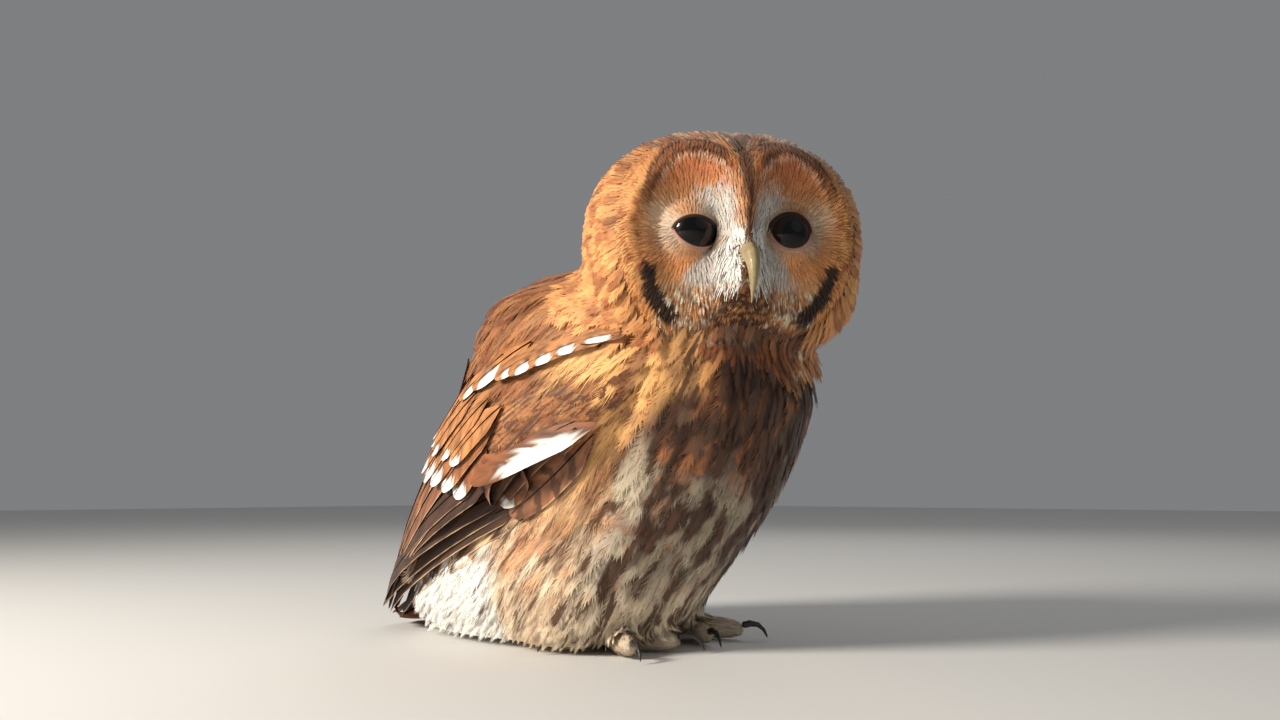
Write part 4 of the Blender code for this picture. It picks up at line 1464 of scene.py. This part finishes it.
# %% The bridge, whose feathers cover the bill's base
bridge_f = head_f & (np.abs(across_f) < 5.5) & (up_f > -6) & (up_f < 8) & (ahead_f > 24)
roots = scatter(bridge_f, 0.8 * MM)
across, _, up = in_head(roots["place"])
count = len(across)
down = unit(from_head(np.sign(across) * 0.05, np.interp(up, (-6, 8), (0.55, 0.75)), -1.0))
reach = any_of(count, 9, 13) * MM
paleness = rise(np.abs(across) + chance.normal(0, 0.5, count), 1.0, 2.0)
dress(
    "coat_bristles", "tiny", roots, reach, 0.10, 2.6 * MM, 0, 0,
    tone=blend(BROWN * 1.2, WHITE * 0.8, paleness), steps=5, sway=0.07, lie=down, cling=0.15, follow=0.3,
    shape={"fray": 0.2, "camber": 0.3, "roll": 0.1, "ruffle": 0.05},
)
print("bridge feathers:", count)

# %% Rim, crown, nape and cheeks
crown_spacing = np.interp(ring_f, (1.1, 1.4, 2.0), (1.5, 1.8, 2.3)) * MM
for coat, here in (("coat_crown", up_f > 26), ("coat_nape", up_f <= 26)):
    roots = scatter(head_f & ~disc_f & here, crown_spacing)
    across, ahead, up = in_head(roots["place"])
    count = len(across)
    ring = disc_ring(across, up)
    near_rim = rise(ring, 1.45, 1.15) * rise(ahead, 0, 16)
    reach = np.interp(ring, (1.1, 1.5, 2.2), (8.0, 12.0, 16.0)) * any_of(count, 0.85, 1.15) * MM
    jowl = rise(up, -4, -20) * rise(np.abs(across), 10, 24) * rise(ahead, -14, 6)
    reach = reach * (1 + 0.55 * jowl)  # longer feathers hang over the neck
    bars = any_of(count, 0.0, 0.45) * rise(up, 24, 44)
    streak = any_of(count, 0.0, 0.30) * rise(up, 10, 40)
    lift = (1.9 + 0.6 * near_rim + 3.6 * jowl) * any_of(count, 0.8, 1.2) * MM
    dress(
        coat, "small", roots, reach, 0.20, lift, streak, bars,
        steps=4, sway=0.08, crisp=0.4, stray=0.9 * MM,
        shape={"fray": 0.18, "roll": 0.08, "camber": 0.25, "ruffle": 0.04},
    )
    print(coat, "feathers:", count)

# %% [markdown]
# ## Breast, belly and throat
# The long, soft feathers of the underside take the skin's dark streaks, and those that lie on a streak are
# dark along the shaft too, so that long broken lines run down the breast. Towards the flanks the feathers
# are longer and silkier, with thin streaks or none, and under the tail they are white.

# %% Which region of the body each face belongs to
turn_f = round_the_body(face_middle)
height_f = face_middle[:, 2] / MM
back_f = face_middle[:, 1] / MM
body_f = np.isin(face_kind, ("trunk", "neck", "thigh"))
above_tail_f = under_tail(face_middle) < 0.5
mantle_f = body_f & (turn_f > 108) & ((height_f > 60) | above_tail_f)
vent_f = body_f & ~mantle_f & (back_f > 30) & (height_f < 62)
flank_f = body_f & ~mantle_f & ~vent_f & (turn_f > 44)
breast_f = body_f & ~mantle_f & ~vent_f & ~flank_f
off_floor_f = height_f > 6
FAN_SHARES, FAN_LOWEST = (0.42, 0.99), (-50, -13)  # the lower edge of the primaries' fan, along and above


def over_fan(points):
    """Whether each point lies where the fan of the primaries should stay in sight."""
    hidden = np.zeros(len(points), bool)
    for label, side in SIDES.items():
        here = points[:, 0] * side > 0
        share, above = in_wing(points[here], label)
        lowest = np.interp(share, FAN_SHARES, FAN_LOWEST)
        hidden[here] = (share > FAN_SHARES[0]) & (share < 1) & (above > lowest)
    return hidden


def room_below(places, reach):
    """Feathers near the floor are shorter, so that the toes stay free."""
    return np.minimum(reach, places[:, 2] * 0.72 + 2 * MM)


def towards_tips(places, reach):
    """Where the outer part of feathers with these roots and lengths lies."""
    return places + body_lie(places) * reach[:, None] * 0.85


for name, region in (("mantle", mantle_f), ("vent", vent_f), ("flanks", flank_f), ("breast", breast_f)):
    print(name, "has", round(face_area[region].sum() * 1e4), "square centimetres")

# %% Feathers of the breast
SOFT = {"fray": 0.22, "roll": 0.10, "camber": 0.28, "ruffle": 0.05}
roots = scatter(breast_f & off_floor_f, 3.15 * MM)
places = roots["place"]
count = len(places)
height = places[:, 2] / MM
throat = rise(height, 118, 134)
reach = room_below(places, (34 - 16 * throat) * any_of(count, 0.8, 1.15) * MM)
streaked = streaks_at(towards_tips(places, reach)) > -0.05
streaked &= round_the_body(places) < breast_edge(height) - 3
bold = np.where(streaked, any_of(count, 0.12, 0.36), 0.0)
kept = dress(
    "coat_breast", "contour", roots, reach, 0.18, any_of(count, 2.6, 4.4) * MM, bold, 0,
    steps=6, sway=0.07, shape=SOFT, crisp=0.8, keep_off=QUILL_KINDS,
)
print("breast feathers:", kept)

# %% Feathers of the flanks
for label, side in SIDES.items():
    roots = scatter(flank_f & off_floor_f & (face_middle[:, 0] * side >= 0), 3.4 * MM)
    places = roots["place"]
    count = len(places)
    reach = room_below(places, any_of(count, 32, 46) * MM)
    here = towards_tips(places, reach)
    streaked = (streaks_at(here) > 0.45) & (here[:, 2] < 75 * MM)
    slim = np.where(streaked, any_of(count, 0.08, 0.22), 0.0)
    kept = dress(
        "coat_flank_" + label, "plume", roots, reach, 0.16, any_of(count, 2.6, 4.6) * MM,
        slim, 0, steps=6, sway=0.07, shape=SOFT, crisp=0.45, keep_off=QUILL_KINDS,
    )
    print(label, "flank feathers:", kept)

# %% Feathers under the tail
roots = scatter(vent_f & off_floor_f, 3.5 * MM)
places = roots["place"]
count = len(places)
reach = room_below(places, any_of(count, 22, 32) * MM)
comma = np.where(chance.random(count) < 0.04, any_of(count, 0.10, 0.20), 0.0)
kept = dress(
    "coat_vent", "plume", roots, reach, 0.18, any_of(count, 2.6, 4.6) * MM,
    comma, 0, steps=5, sway=0.12, shape=SOFT, keep_off=QUILL_KINDS,
)
print("vent feathers:", kept)

# %% [markdown]
# ## Mantle and back
# The back's feathers are broad, rufous and frayed, with a dark shaft streak and fine dark ripples. They
# also cover the upper edge of each wing, so that no line shows between wing and back.

# %% Feathers of the mantle
UPPER_EDGE = 24  # millimetres above a wing's middle line, where the mantle takes over
EDGE_END = 0.60  # and how far along the wing it does
upper_edge_f = np.zeros(len(face_kind), bool)
for label in SIDES:
    here = np.flatnonzero(np.isin(face_owner, ["wing_" + label, "secondaries_" + label]))
    share, above = in_wing(face_middle[here], label)
    upper_edge_f[here[(above > UPPER_EDGE) & (share < EDGE_END)]] = True
before_tail_f = (face_middle - tail_middle) @ tail_along < -0.026
roots = scatter((mantle_f | upper_edge_f) & before_tail_f, 3.8 * MM)
count = len(roots["place"])
reach = any_of(count, 22, 32) * MM
on_wing = ~np.isin(roots["kind"], ("trunk", "neck", "thigh"))  # there they lie over the bases of the quills
roots["kind"] = np.full(count, "trunk")
lift = (any_of(count, 2.4, 3.8) + 2.0 * on_wing) * MM
kept = dress(
    "coat_back", "contour", roots, reach, 0.19, lift,
    any_of(count, 0.02, 0.26), any_of(count, 0.0, 0.36),
    steps=6, sway=0.09, shape=SOFT, crisp=0.3,
)
print("mantle feathers:", kept)

# %% [markdown]
# ## Wing coverts
# Small soft tiles cover the arm of the wing. They have to end before the tips of the great coverts, whose
# places are set here first, so that the white spots on those stay in sight.

# %% Lesser and median coverts
# Great coverts, by the place of their tips: share, above, and how large the white spot is.
GREAT_TIPS = (
    (0.62, 19, 0.3), (0.61, 11, 0.5), (0.59, 3, 0.8), (0.57, -5, 1.0), (0.535, -12, 0.9), (0.505, -18.5, 0.9),
    (0.480, -24.5, 1.0), (0.455, -31, 1.0), (0.42, -37, 0.8),
)
SOFT_END = 0.125  # how far before those tips a soft feather's root may be, as a share of the wing
tip_shares, tip_aboves, _ = zip(*GREAT_TIPS[::-1])
for label in SIDES:
    arm = np.flatnonzero(np.isin(face_owner, [part + label for part in WING_SOLIDS]))
    share, above = in_wing(face_middle[arm], label)
    above_thumb = (above > -24) | (share < 0.14)
    soft_f = np.zeros(len(face_kind), bool)
    soft_f[arm[(share < np.interp(above, tip_aboves, tip_shares) - SOFT_END) & above_thumb]] = True
    roots = scatter(soft_f, 2.9 * MM)
    count = len(roots["place"])
    on_quills = np.isin(roots["kind"], QUILL_KINDS)
    roots["kind"] = np.full(count, "wing")
    reach = any_of(count, 12, 18) * MM
    lift = (any_of(count, 1.8, 2.8) + 2.6 * on_quills) * MM
    kept = dress(
        "coat_wing_" + label, "contour", roots, reach, 0.24, lift,
        any_of(count, 0.02, 0.24), any_of(count, 0.0, 0.36),
        steps=5, sway=0.08, crisp=0.4, shape={"fray": 0.14, "roll": 0.08, "camber": 0.3, "ruffle": 0.04},
    )
    print(label, "wing coverts:", kept)

# %% [markdown]
# ## Quills, great coverts and scapulars
# The large feathers of the wing hold their shape, so they are laid in rows: a fan of quills whose lower
# edges show one below the other, the great coverts with white tips over their bases, one feather with a
# white outer web, the stiff feather of the thumb, and scapulars with white spots along the shoulder. Each
# is a closed vane, tilted a little, so that its lower edge laps over the next one as boards do on a wall.
# Every row runs on nearly straight lines in the wing's own measures, and a ray cast finds how far out the
# skin lies.

# %% Lay closed vanes along the wing
QUILL_STEPS = 9
ATLAS = (10, 10)  # cells across and up that the large feathers share on their unwrap
CELL = np.array((0.92, 0.92)) / ATLAS  # the part of its cell that a feather fills
LAP = 0.07  # the tilt of each vane
FAR_OUT = 60.0  # millimetres from a wing's middle line, where rays towards the wing start
DEEPEST = -20  # a ray that lands this many millimetres beyond the middle line has missed


def skin_out(label, share, above):
    """How far the skin stands out from the wing's middle line, in millimetres, as a smooth curve."""
    places, facing = wing_place(label, share, above, np.full(len(share), FAR_OUT))
    outs = FAR_OUT - ray_lengths(skin_tree, places, -facing) / MM
    found = outs > DEEPEST
    if found.sum() < 4:
        return np.zeros(len(share))
    steps = np.linspace(0, 1, len(share))
    fit = np.polyval(np.polyfit(steps[found], outs[found], 2), steps)
    return fit + max(0.0, (outs - fit)[found].max() * 0.5)


def atlas_cell(index):
    columns, rows = ATLAS
    return np.array([[(index % columns + 0.5) / columns, (index // columns + 0.5) / rows]])


def lay_vane(coat, index, line, facing, half_width, tone_rule, mark, pattern, downward):
    """One large feather on a line. Its lower web is the one on the downward side."""
    tangent = unit(line[-1] - line[0])
    turn = 1 if np.cross(tangent, facing[len(line) // 2]) @ downward > 0 else -1
    pattern = PATTERNS[pattern]
    points, across, place, outwards = bend_onto(
        pattern, line[None], facing[None], [half_width * MM], fray=0.012, camber=0.06, roll=0.01,
        ruffle=0.008, tilt=LAP * turn,
    )
    cloud = mottle(points[0] + index * 0.01, 5 * MM, 12)[None]
    tone = tone_rule(across * turn, place, cloud)
    uneven = tone * (1 + 0.6 * np.clip(cloud, -1, 1.4))[..., None]
    tone = np.where(tone.mean(2, keepdims=True) > 0.6, tone, uneven)  # white stays clean
    mark = marks(*[[strength] for strength in mark])
    add_feathers(coat, pattern, points, across, place, outwards, tone, mark, atlas_cell(index), CELL)


def lay_quill(label, index, root, tip, layer, half_width, tone_rule, mark, pattern, bow=0.0):
    """One large feather from root to tip, both as share and above. The layer is how high over the skin its
    ends lie, in millimetres, and the bow bends it upwards in the middle."""
    along = np.linspace(0, 1, QUILL_STEPS)
    share = root[0] + (tip[0] - root[0]) * along
    above = root[1] + (tip[1] - root[1]) * along + bow * np.sin(math.pi * along)
    rest = layer[0] + (layer[1] - layer[0]) * along**0.7
    line, facing = wing_place(label, share, above, skin_out(label, share, above) + rest)
    downward = -at(wing_rise[label], share[QUILL_STEPS // 2])
    lay_vane("quills_" + label, index, line, facing, half_width, tone_rule, mark, pattern, downward)


print("the large feathers share", ATLAS[0] * ATLAS[1], "cells of the unwrap")

# %% [markdown]
# The colour of a large feather runs along its own web, so it is a rule of three things: how far down across
# the web a point is, from -1 to 1, how far along, and a soft cloud of unevenness.


# %% Colour rules for large feathers
def plain_vane(ground, edge, edge_from):
    """A ground colour, with a narrow pale edge on the lower web."""

    def rule(down, along, _):
        return blend(ground, edge, rise(down, edge_from + 0.01, edge_from + 0.07) * rise(along, 0.05, 0.2))

    return rule


def blocked_vane(ground, block, edge, count):
    """A ground colour with pale blocks across its webs, and a pale edge."""

    def rule(down, along, cloud):
        bars = rise(np.sin(along * count * 2 * math.pi + cloud), 0.05, 0.35) * rise(np.abs(down), 0.12, 0.25)
        return layered(ground, (block, bars * rise(along, 0.70, 0.55)), (edge, rise(down, 0.90, 0.97)))

    return rule


def spotted_vane(ground, start, end, inner, edge, ragged):
    """A white oval from start to end that reaches in from the lower edge, and a dark line round it."""

    def rule(down, along, cloud):
        middle, half = (start + end) / 2, (end - start) / 2
        gap = np.hypot((along - middle) / half, (down - 0.55) / (0.55 - inner)) + cloud * ragged
        return layered(
            ground,
            (edge, rise(down, 0.90, 0.97) * 0.5),
            (BROWN * 0.7, rise(gap, 1.5, 1.15) * 0.8),
            (WHITE, rise(gap, 1.12, 0.90)),
        )

    return rule


print("rules for plain, blocked and spotted vanes are ready")

# %% Quills, coverts and scapulars of both wings
# Scapulars, by the middle of their white spot: share, above, length of the spot and half width of the vane.
SCAPULARS = (
    (0.045, -0.8, 12.0, 3.2), (0.113, -2.1, 7.5, 4.6), (0.163, -2.7, 8.0, 4.8), (0.213, -2.3, 8.0, 5.0),
    (0.250, -0.5, 7.0, 5.0), (0.312, 4.6, 13.0, 7.6), (0.375, 7.5, 8.0, 6.4),
)
WING_LENGTH = 240.0  # millimetres along the middle line
PRIMARIES, SECONDARIES, PRIMARY_COVERTS = 8, 7, 5
SECOND_ROW = 6  # great coverts in the smaller row
OUTER_TIPS = {6: (0.88, -19.5), 7: (0.82, -24.5)}  # the two outermost primaries are shorter
COVERT_MARK = (0.04, 0.22, 0)
NO_MARK = (0, 0, 0)


def lay_primaries(lay):
    """The primaries, from the upper to the lowest. The middle is set, and the root follows from it."""
    for k in range(PRIMARIES):
        row = k / (PRIMARIES - 1)
        tip = (0.93 + 0.065 * row, -7 - 5 * row)
        root = (0.37, (-22 - 3.3 * k - 0.21 * tip[1]) / 0.79)
        edge = blend(BUFF * 0.65, BUFF, row)
        # The primaries' ground is their own dark brown, darkened further as painted shade under the
        # secondaries that overhang them, and darker towards the lowest.
        ground = BROWN * (0.38 - 0.05 * row)
        rule = plain_vane(ground, edge, 0.90) if k < 5 else blocked_vane(ground, BUFF * 0.9, edge, 5)
        height = 1.9 - 0.09 * k
        lay(root, OUTER_TIPS.get(k, tip), (height, height), 6.4, rule, (0, 0.10, 0), "quill", bow=-1.5)


def lay_secondaries(lay):
    """The secondaries, which lie over the primaries, from the lowest to the upper."""
    for k in range(SECONDARIES)[::-1]:
        row = k / (SECONDARIES - 1)
        tip = (0.885 + 0.07 * row, 4 - 14 * row)
        root = (0.48 - 0.02 * k, min(26.0, (23 - 6.4 * k - 0.45 * tip[1]) / 0.55))
        rule = plain_vane(blend(RUFOUS * 0.85, BROWN * 1.3, row), BUFF * 0.85, 0.88)
        lay(root, tip, (0.2, 2.9 - 0.14 * k), 8.6, rule, (0.04, 0.34, 0), "quill", bow=-2)


def lay_coverts(lay):
    """Primary coverts, then the great coverts in two rows."""
    rule = plain_vane(BROWN * 0.85, BUFF * 0.45, 0.86)
    for k in range(PRIMARY_COVERTS):
        root, tip = (0.13, -27 - 2.6 * k), (0.465 - 0.01 * k, -33 - 2.7 * k)
        lay(root, tip, (1.5, 2.6 - 0.1 * k), 4.6, rule, (0, 0.1, 0), "covert")
    for k, (share, above, white) in enumerate(GREAT_TIPS[::-1]):
        ground = blend(ORANGE * 0.72, RUFOUS * 0.62, rise(above, 10, -30))
        rule = spotted_vane(ground, 0.98 - 0.24 * white, 1.02, 0.30 - 0.55 * white, BUFF * 0.8, 0.5)
        root = (share - (0.20 if above > -20 else 0.13), above + 6)
        lay(root, (share, above - 0.5), (1.9, 3.8 + 0.09 * k), 7.2, rule, COVERT_MARK, "covert")
    for share, above, white in GREAT_TIPS[:SECOND_ROW][::-1]:  # a second, smaller row over their bases
        rule = spotted_vane(ORANGE * 0.70, 0.98 - 0.16 * white, 1.02, 0.40 - 0.40 * white, BUFF * 0.8, 0.6)
        root, tip = (share - 0.22, above + 9), (share - 0.055, above + 3.5)
        lay(root, tip, (3.4, 5.2), 6.4, rule, COVERT_MARK, "covert")


def lay_front(lay):
    """The feather with the white outer web at the lower front, and the stiff feather of the thumb."""
    rule = spotted_vane(RUFOUS * 0.5, 0.14, 0.78, -0.25, RUFOUS * 0.6, 0.22)
    lay((0.08, -30.0), (0.41, -28.0), (6.2, 6.8), 5.6, rule, NO_MARK, "shaftless", bow=-2)
    rule = plain_vane(BROWN * 1.9, BUFF * 0.8, 0.90)
    lay((0.12, -33), (0.42, -43.5), (3.4, 4.6), 7.8, rule, (0.05, 0.50, 0), "covert", bow=-3)


def lay_scapulars(lay):
    """The row with white outer webs along the shoulder, from the last to the first."""
    for share, above, spot, half in SCAPULARS[::-1]:
        length = spot + 24
        tip = (share + (spot * 0.5 + 4.5) / WING_LENGTH, above + half * 0.30)
        root = (tip[0] - length / WING_LENGTH, tip[1] + 3)
        start = 1 - (spot + 4.5) / length
        rule = spotted_vane(ORANGE * 0.66, start, start + spot / length, 0.02, ORANGE, 0.12)
        lay(root, tip, (3.2, 6.0), half, rule, NO_MARK, "covert")


for label in SIDES:
    cells = iter(range(ATLAS[0] * ATLAS[1]))

    def lay(*measures, **bow):
        lay_quill(label, next(cells), *measures, **bow)

    for lay_row in (lay_primaries, lay_secondaries, lay_coverts, lay_front, lay_scapulars):
        lay_row(lay)
    print(label, "wing:", next(cells), "large feathers")

# %% [markdown]
# ## The tail
# Twelve feathers fan out a little. The middle pair lies on top, and the outer ones are barred more strongly.

# %% Tail feathers
TAIL_PAIRS = 6
TAIL_ROOT, TAIL_TIP = -0.044, 0.0515  # metres along the tail from its middle
TAIL_RAY = 0.05  # metres above the tail, where rays towards it start
stations = np.arange(QUILL_STEPS)
for pair in range(TAIL_PAIRS)[::-1]:
    for side in SIDES.values():
        outwards = np.array([side, 0, 0])
        root = tail_middle + tail_along * TAIL_ROOT + outwards * (1.5 + 1.6 * pair) * MM
        tip = tail_middle + tail_along * (TAIL_TIP - 0.0010 * pair) + outwards * (2.6 + 2.7 * pair) * MM
        line = root + (tip - root) * np.linspace(0, 1, QUILL_STEPS)[:, None]
        hits = ray_lengths(skin_tree, line + tail_facing * TAIL_RAY, -tail_facing)
        above = TAIL_RAY - np.nan_to_num(hits, nan=TAIL_RAY)
        fit = np.polyval(np.polyfit(stations, np.clip(above, -0.004, 0.006), 1), stations)
        line = line + tail_facing * (fit + (1.9 - 0.26 * pair) * MM)[:, None]
        facing = np.tile(unit(tail_facing + outwards * 0.06 * pair), (QUILL_STEPS, 1))
        rule = plain_vane(blend(ORANGE * 0.50, RUFOUS * 0.50, pair / (TAIL_PAIRS - 1)), BUFF * 0.7, 0.92)
        mark = (0.05, 0.30 + 0.06 * pair, 0)
        lay_vane("quills_tail", pair * 2 + (side > 0), line, facing, 7.6, rule, mark, "quill", outwards)
print("tail feathers:", TAIL_PAIRS * 2)

# %% [markdown]
# ## Feet
# A tawny owl's shanks and toes are feathered to the claws, with short bristly down.

# %% Feathers of the feet
toes_f = np.isin(face_kind, ("foot", "toe")) & (height_f > 1.0)
roots = scatter(toes_f, 0.95 * MM)
count = len(roots["place"])
reach = any_of(count, 3.0, 5.2) * MM
lift = any_of(count, 0.5, 1.0) * MM
dress(
    "coat_feet", "down", roots, reach, 0.13, lift, 0.1 * any_of(count, 0, 1), 0,
    steps=3, sway=0.16, shape={"fray": 0.3},
)
print("foot feathers:", count)

# %% [markdown]
# ## Eyes, bill and claws
# The solids of eyes, bill and claws are right in size and place, but their facets are large. Each gets a
# finer surface of the same shape: a ball for the eye, and for horn a close remesh that is smoothed a
# little.


# %% Eyeballs
IRIS_TURN = math.radians(52)  # how far the iris reaches round the ball
BALL_RINGS, BALL_SPOKES = 42, 64
polar = np.linspace(0, math.pi, BALL_RINGS)
turn = np.linspace(0, 2 * math.pi, BALL_SPOKES, endpoint=False)
here = np.arange(BALL_SPOKES)
after = np.roll(here, -1)
ball_faces = []
for k in range(BALL_RINGS - 1):
    low, high = k * BALL_SPOKES, (k + 1) * BALL_SPOKES
    ball_faces.append(np.stack([low + here, high + here, high + after], 1))
    ball_faces.append(np.stack([low + here, high + after, low + after], 1))
# The first and last rings are single points, so one of their two triangles is left out.
ball_faces = np.concatenate([ball_faces[0], *ball_faces[2:-2], ball_faces[-1]])
for label in SIDES:
    ahead, out = eye_ahead[label], eye_out[label]
    ring = out * np.cos(turn)[:, None] + np.cross(ahead, out) * np.sin(turn)[:, None]
    ways = ahead * np.cos(polar)[:, None, None] + ring * np.sin(polar)[:, None, None]
    mesh = mesh_from("eyeball_" + label, eye_centre[label] + ways.reshape(-1, 3) * eye_radius, ball_faces)
    put_vectors(mesh, "iris", np.stack([np.repeat(polar / IRIS_TURN, BALL_SPOKES)] * 3, 1))
    mesh.materials.append(EYE_FINISH)
    ball = add_object("eyeball_" + label, mesh)
    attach(ball, "root")
    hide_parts("eye_" + label)
print("eyeballs are", round(eye_radius * 2 / MM, 1), "mm across")


# %% Horn
TUCK_SIZE = 0.70  # the closed lower bill is this much smaller,
TUCK_MOVE = (head_up * 1.0 - head_ahead * 1.6) * MM  # and it is drawn in and up


def finer_piece(name, solids, finish, voxel, rounds, tucked=()):
    """One smooth piece that stands for some solids. The tucked ones are drawn in."""
    surfaces = []
    for solid in solids:
        points, _, triangles = arrays_of(nodes[solid].data)
        if solid in tucked:
            middle = points.mean(0)
            points = middle + (points - middle) * TUCK_SIZE + TUCK_MOVE
        surfaces.append((points, triangles))
    points, triangles = remeshed(*joined(surfaces), voxel)
    points = smoothed(points, edges_of(triangles), rounds)
    piece = add_object(name, mesh_from(name, points, triangles))
    piece.data.materials.append(finish)
    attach(piece, "root")
    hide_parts(*solids)
    print(name, "has", len(triangles), "triangles")


BILL_SOLIDS = ["bill_upper", "bill_lower"]
finer_piece("bill", BILL_SOLIDS, BILL_FINISH, 0.35 * MM, 6, tucked=["bill_lower"])
for label in SIDES:
    claws = ["claw_" + label + "_" + toe for toe in ("outer", "inner", "side", "hind")]
    finer_piece("claws_" + label, claws, CLAW_FINISH, 0.30 * MM, 4)

# %% [markdown]
# ## Making the coat pieces
# Each gathered piece becomes one object. Its triangles stay under the limit that keeps an export quick.

# %% From arrays to objects
FINISHES = {"coat_face": FACE_FINISH, "coat_bristles": FACE_FINISH, "coat_feet": FACE_FINISH}
SLOTS = {"coat_vent": "pale_coat", "coat_feet": "pale_coat", "coat_bristles": "pale_coat"}
for name in ("coat_breast", "coat_flank_left", "coat_flank_right", "coat_vent"):
    FINISHES[name] = BREAST_FINISH
    SLOTS.setdefault(name, "breast")
for name in ("quills_left", "quills_right", "quills_tail"):
    FINISHES[name] = QUILL_FINISH
    SLOTS[name] = "quill"
STANDS_FOR = {"quills_" + label: ["secondaries_" + label, "primaries_" + label] for label in SIDES}
STANDS_FOR["quills_tail"] = ["tail"]
SOFTNESS = 0.60  # how much of the body's own roundness each feather borrows for its shading
QUILL_SOFTNESS = 0.18  # and how much each large feather does
MOST_TRIANGLES = 199_000


def make_coat(name, batches):
    """One mesh object from all batches of a coat piece."""
    points, faces = joined([(batch["points"], batch["faces"]) for batch in batches])
    keys = ("uv", "lie", "mark", "tone", "facing")
    uv, lie, mark, tone, facing = (np.concatenate([batch[key] for batch in batches]) for key in keys)
    points[:, 2] = np.maximum(points[:, 2], 0.2 * MM)  # nothing reaches through the floor
    mesh = mesh_from(name, points, faces)
    own = arrays_of(mesh)[1]
    turned = (own * facing).sum(1)
    soft = SOFTNESS if name.startswith("coat") else QUILL_SOFTNESS
    shading = unit(own * np.sign(turned + 1e-9)[:, None] * (1 - soft) + unit(facing) * soft)
    mesh.normals_split_custom_set_from_vertices(shading.astype(np.float32))
    mesh.uv_layers.new(name="OFBake").data.foreach_set("uv", uv[faces.ravel()].astype(np.float32).ravel())
    print(name, "faces outwards on", round((turned > 0).mean() * 100), "percent of its points")
    put_vectors(mesh, "lie", lie)
    put_vectors(mesh, "mark", mark)
    put_tone(mesh, tone)
    mesh.materials.append(FINISHES.get(name, COAT_FINISH))
    coat = add_object(name, mesh)
    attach(coat, "root")
    SLOTS.get(name, "coat")
    if name in STANDS_FOR:
        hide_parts(*STANDS_FOR[name])
    assert len(faces) < MOST_TRIANGLES, name + " has too many triangles"
    return len(faces)


total = 0
for name, batches in coats.items():
    made = make_coat(name, batches)
    total += made
    print(name, "has", made, "triangles")
print("the coat has", total, "triangles in all")

# %% [markdown]
# ## The floor
# A plain pale sheet, far larger than the view.

# %% Floor
FLOOR_CORNERS = np.array([(-4.0, -4, 0), (4, -4, 0), (4, 4, 0), (-4, 4, 0)])  # metres
floor = add_object("floor", mesh_from("floor", FLOOR_CORNERS, np.array([(0, 1, 2), (0, 2, 3)])))
floor_finish = Paint("pale_floor").finish({"Base Color": (0.72, 0.71, 0.69, 1), "Roughness": 0.85})
floor.data.materials.append(floor_finish)
floor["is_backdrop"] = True

# %% Sizes, and the end
visual_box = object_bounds()
for k, name in enumerate(("width", "length", "height")):
    grown_by = (visual_box[1][k] - visual_box[0][k]) - (cad_box[1][k] - cad_box[0][k])
    print(name, "has grown by", round(grown_by / MM, 1), "mm")
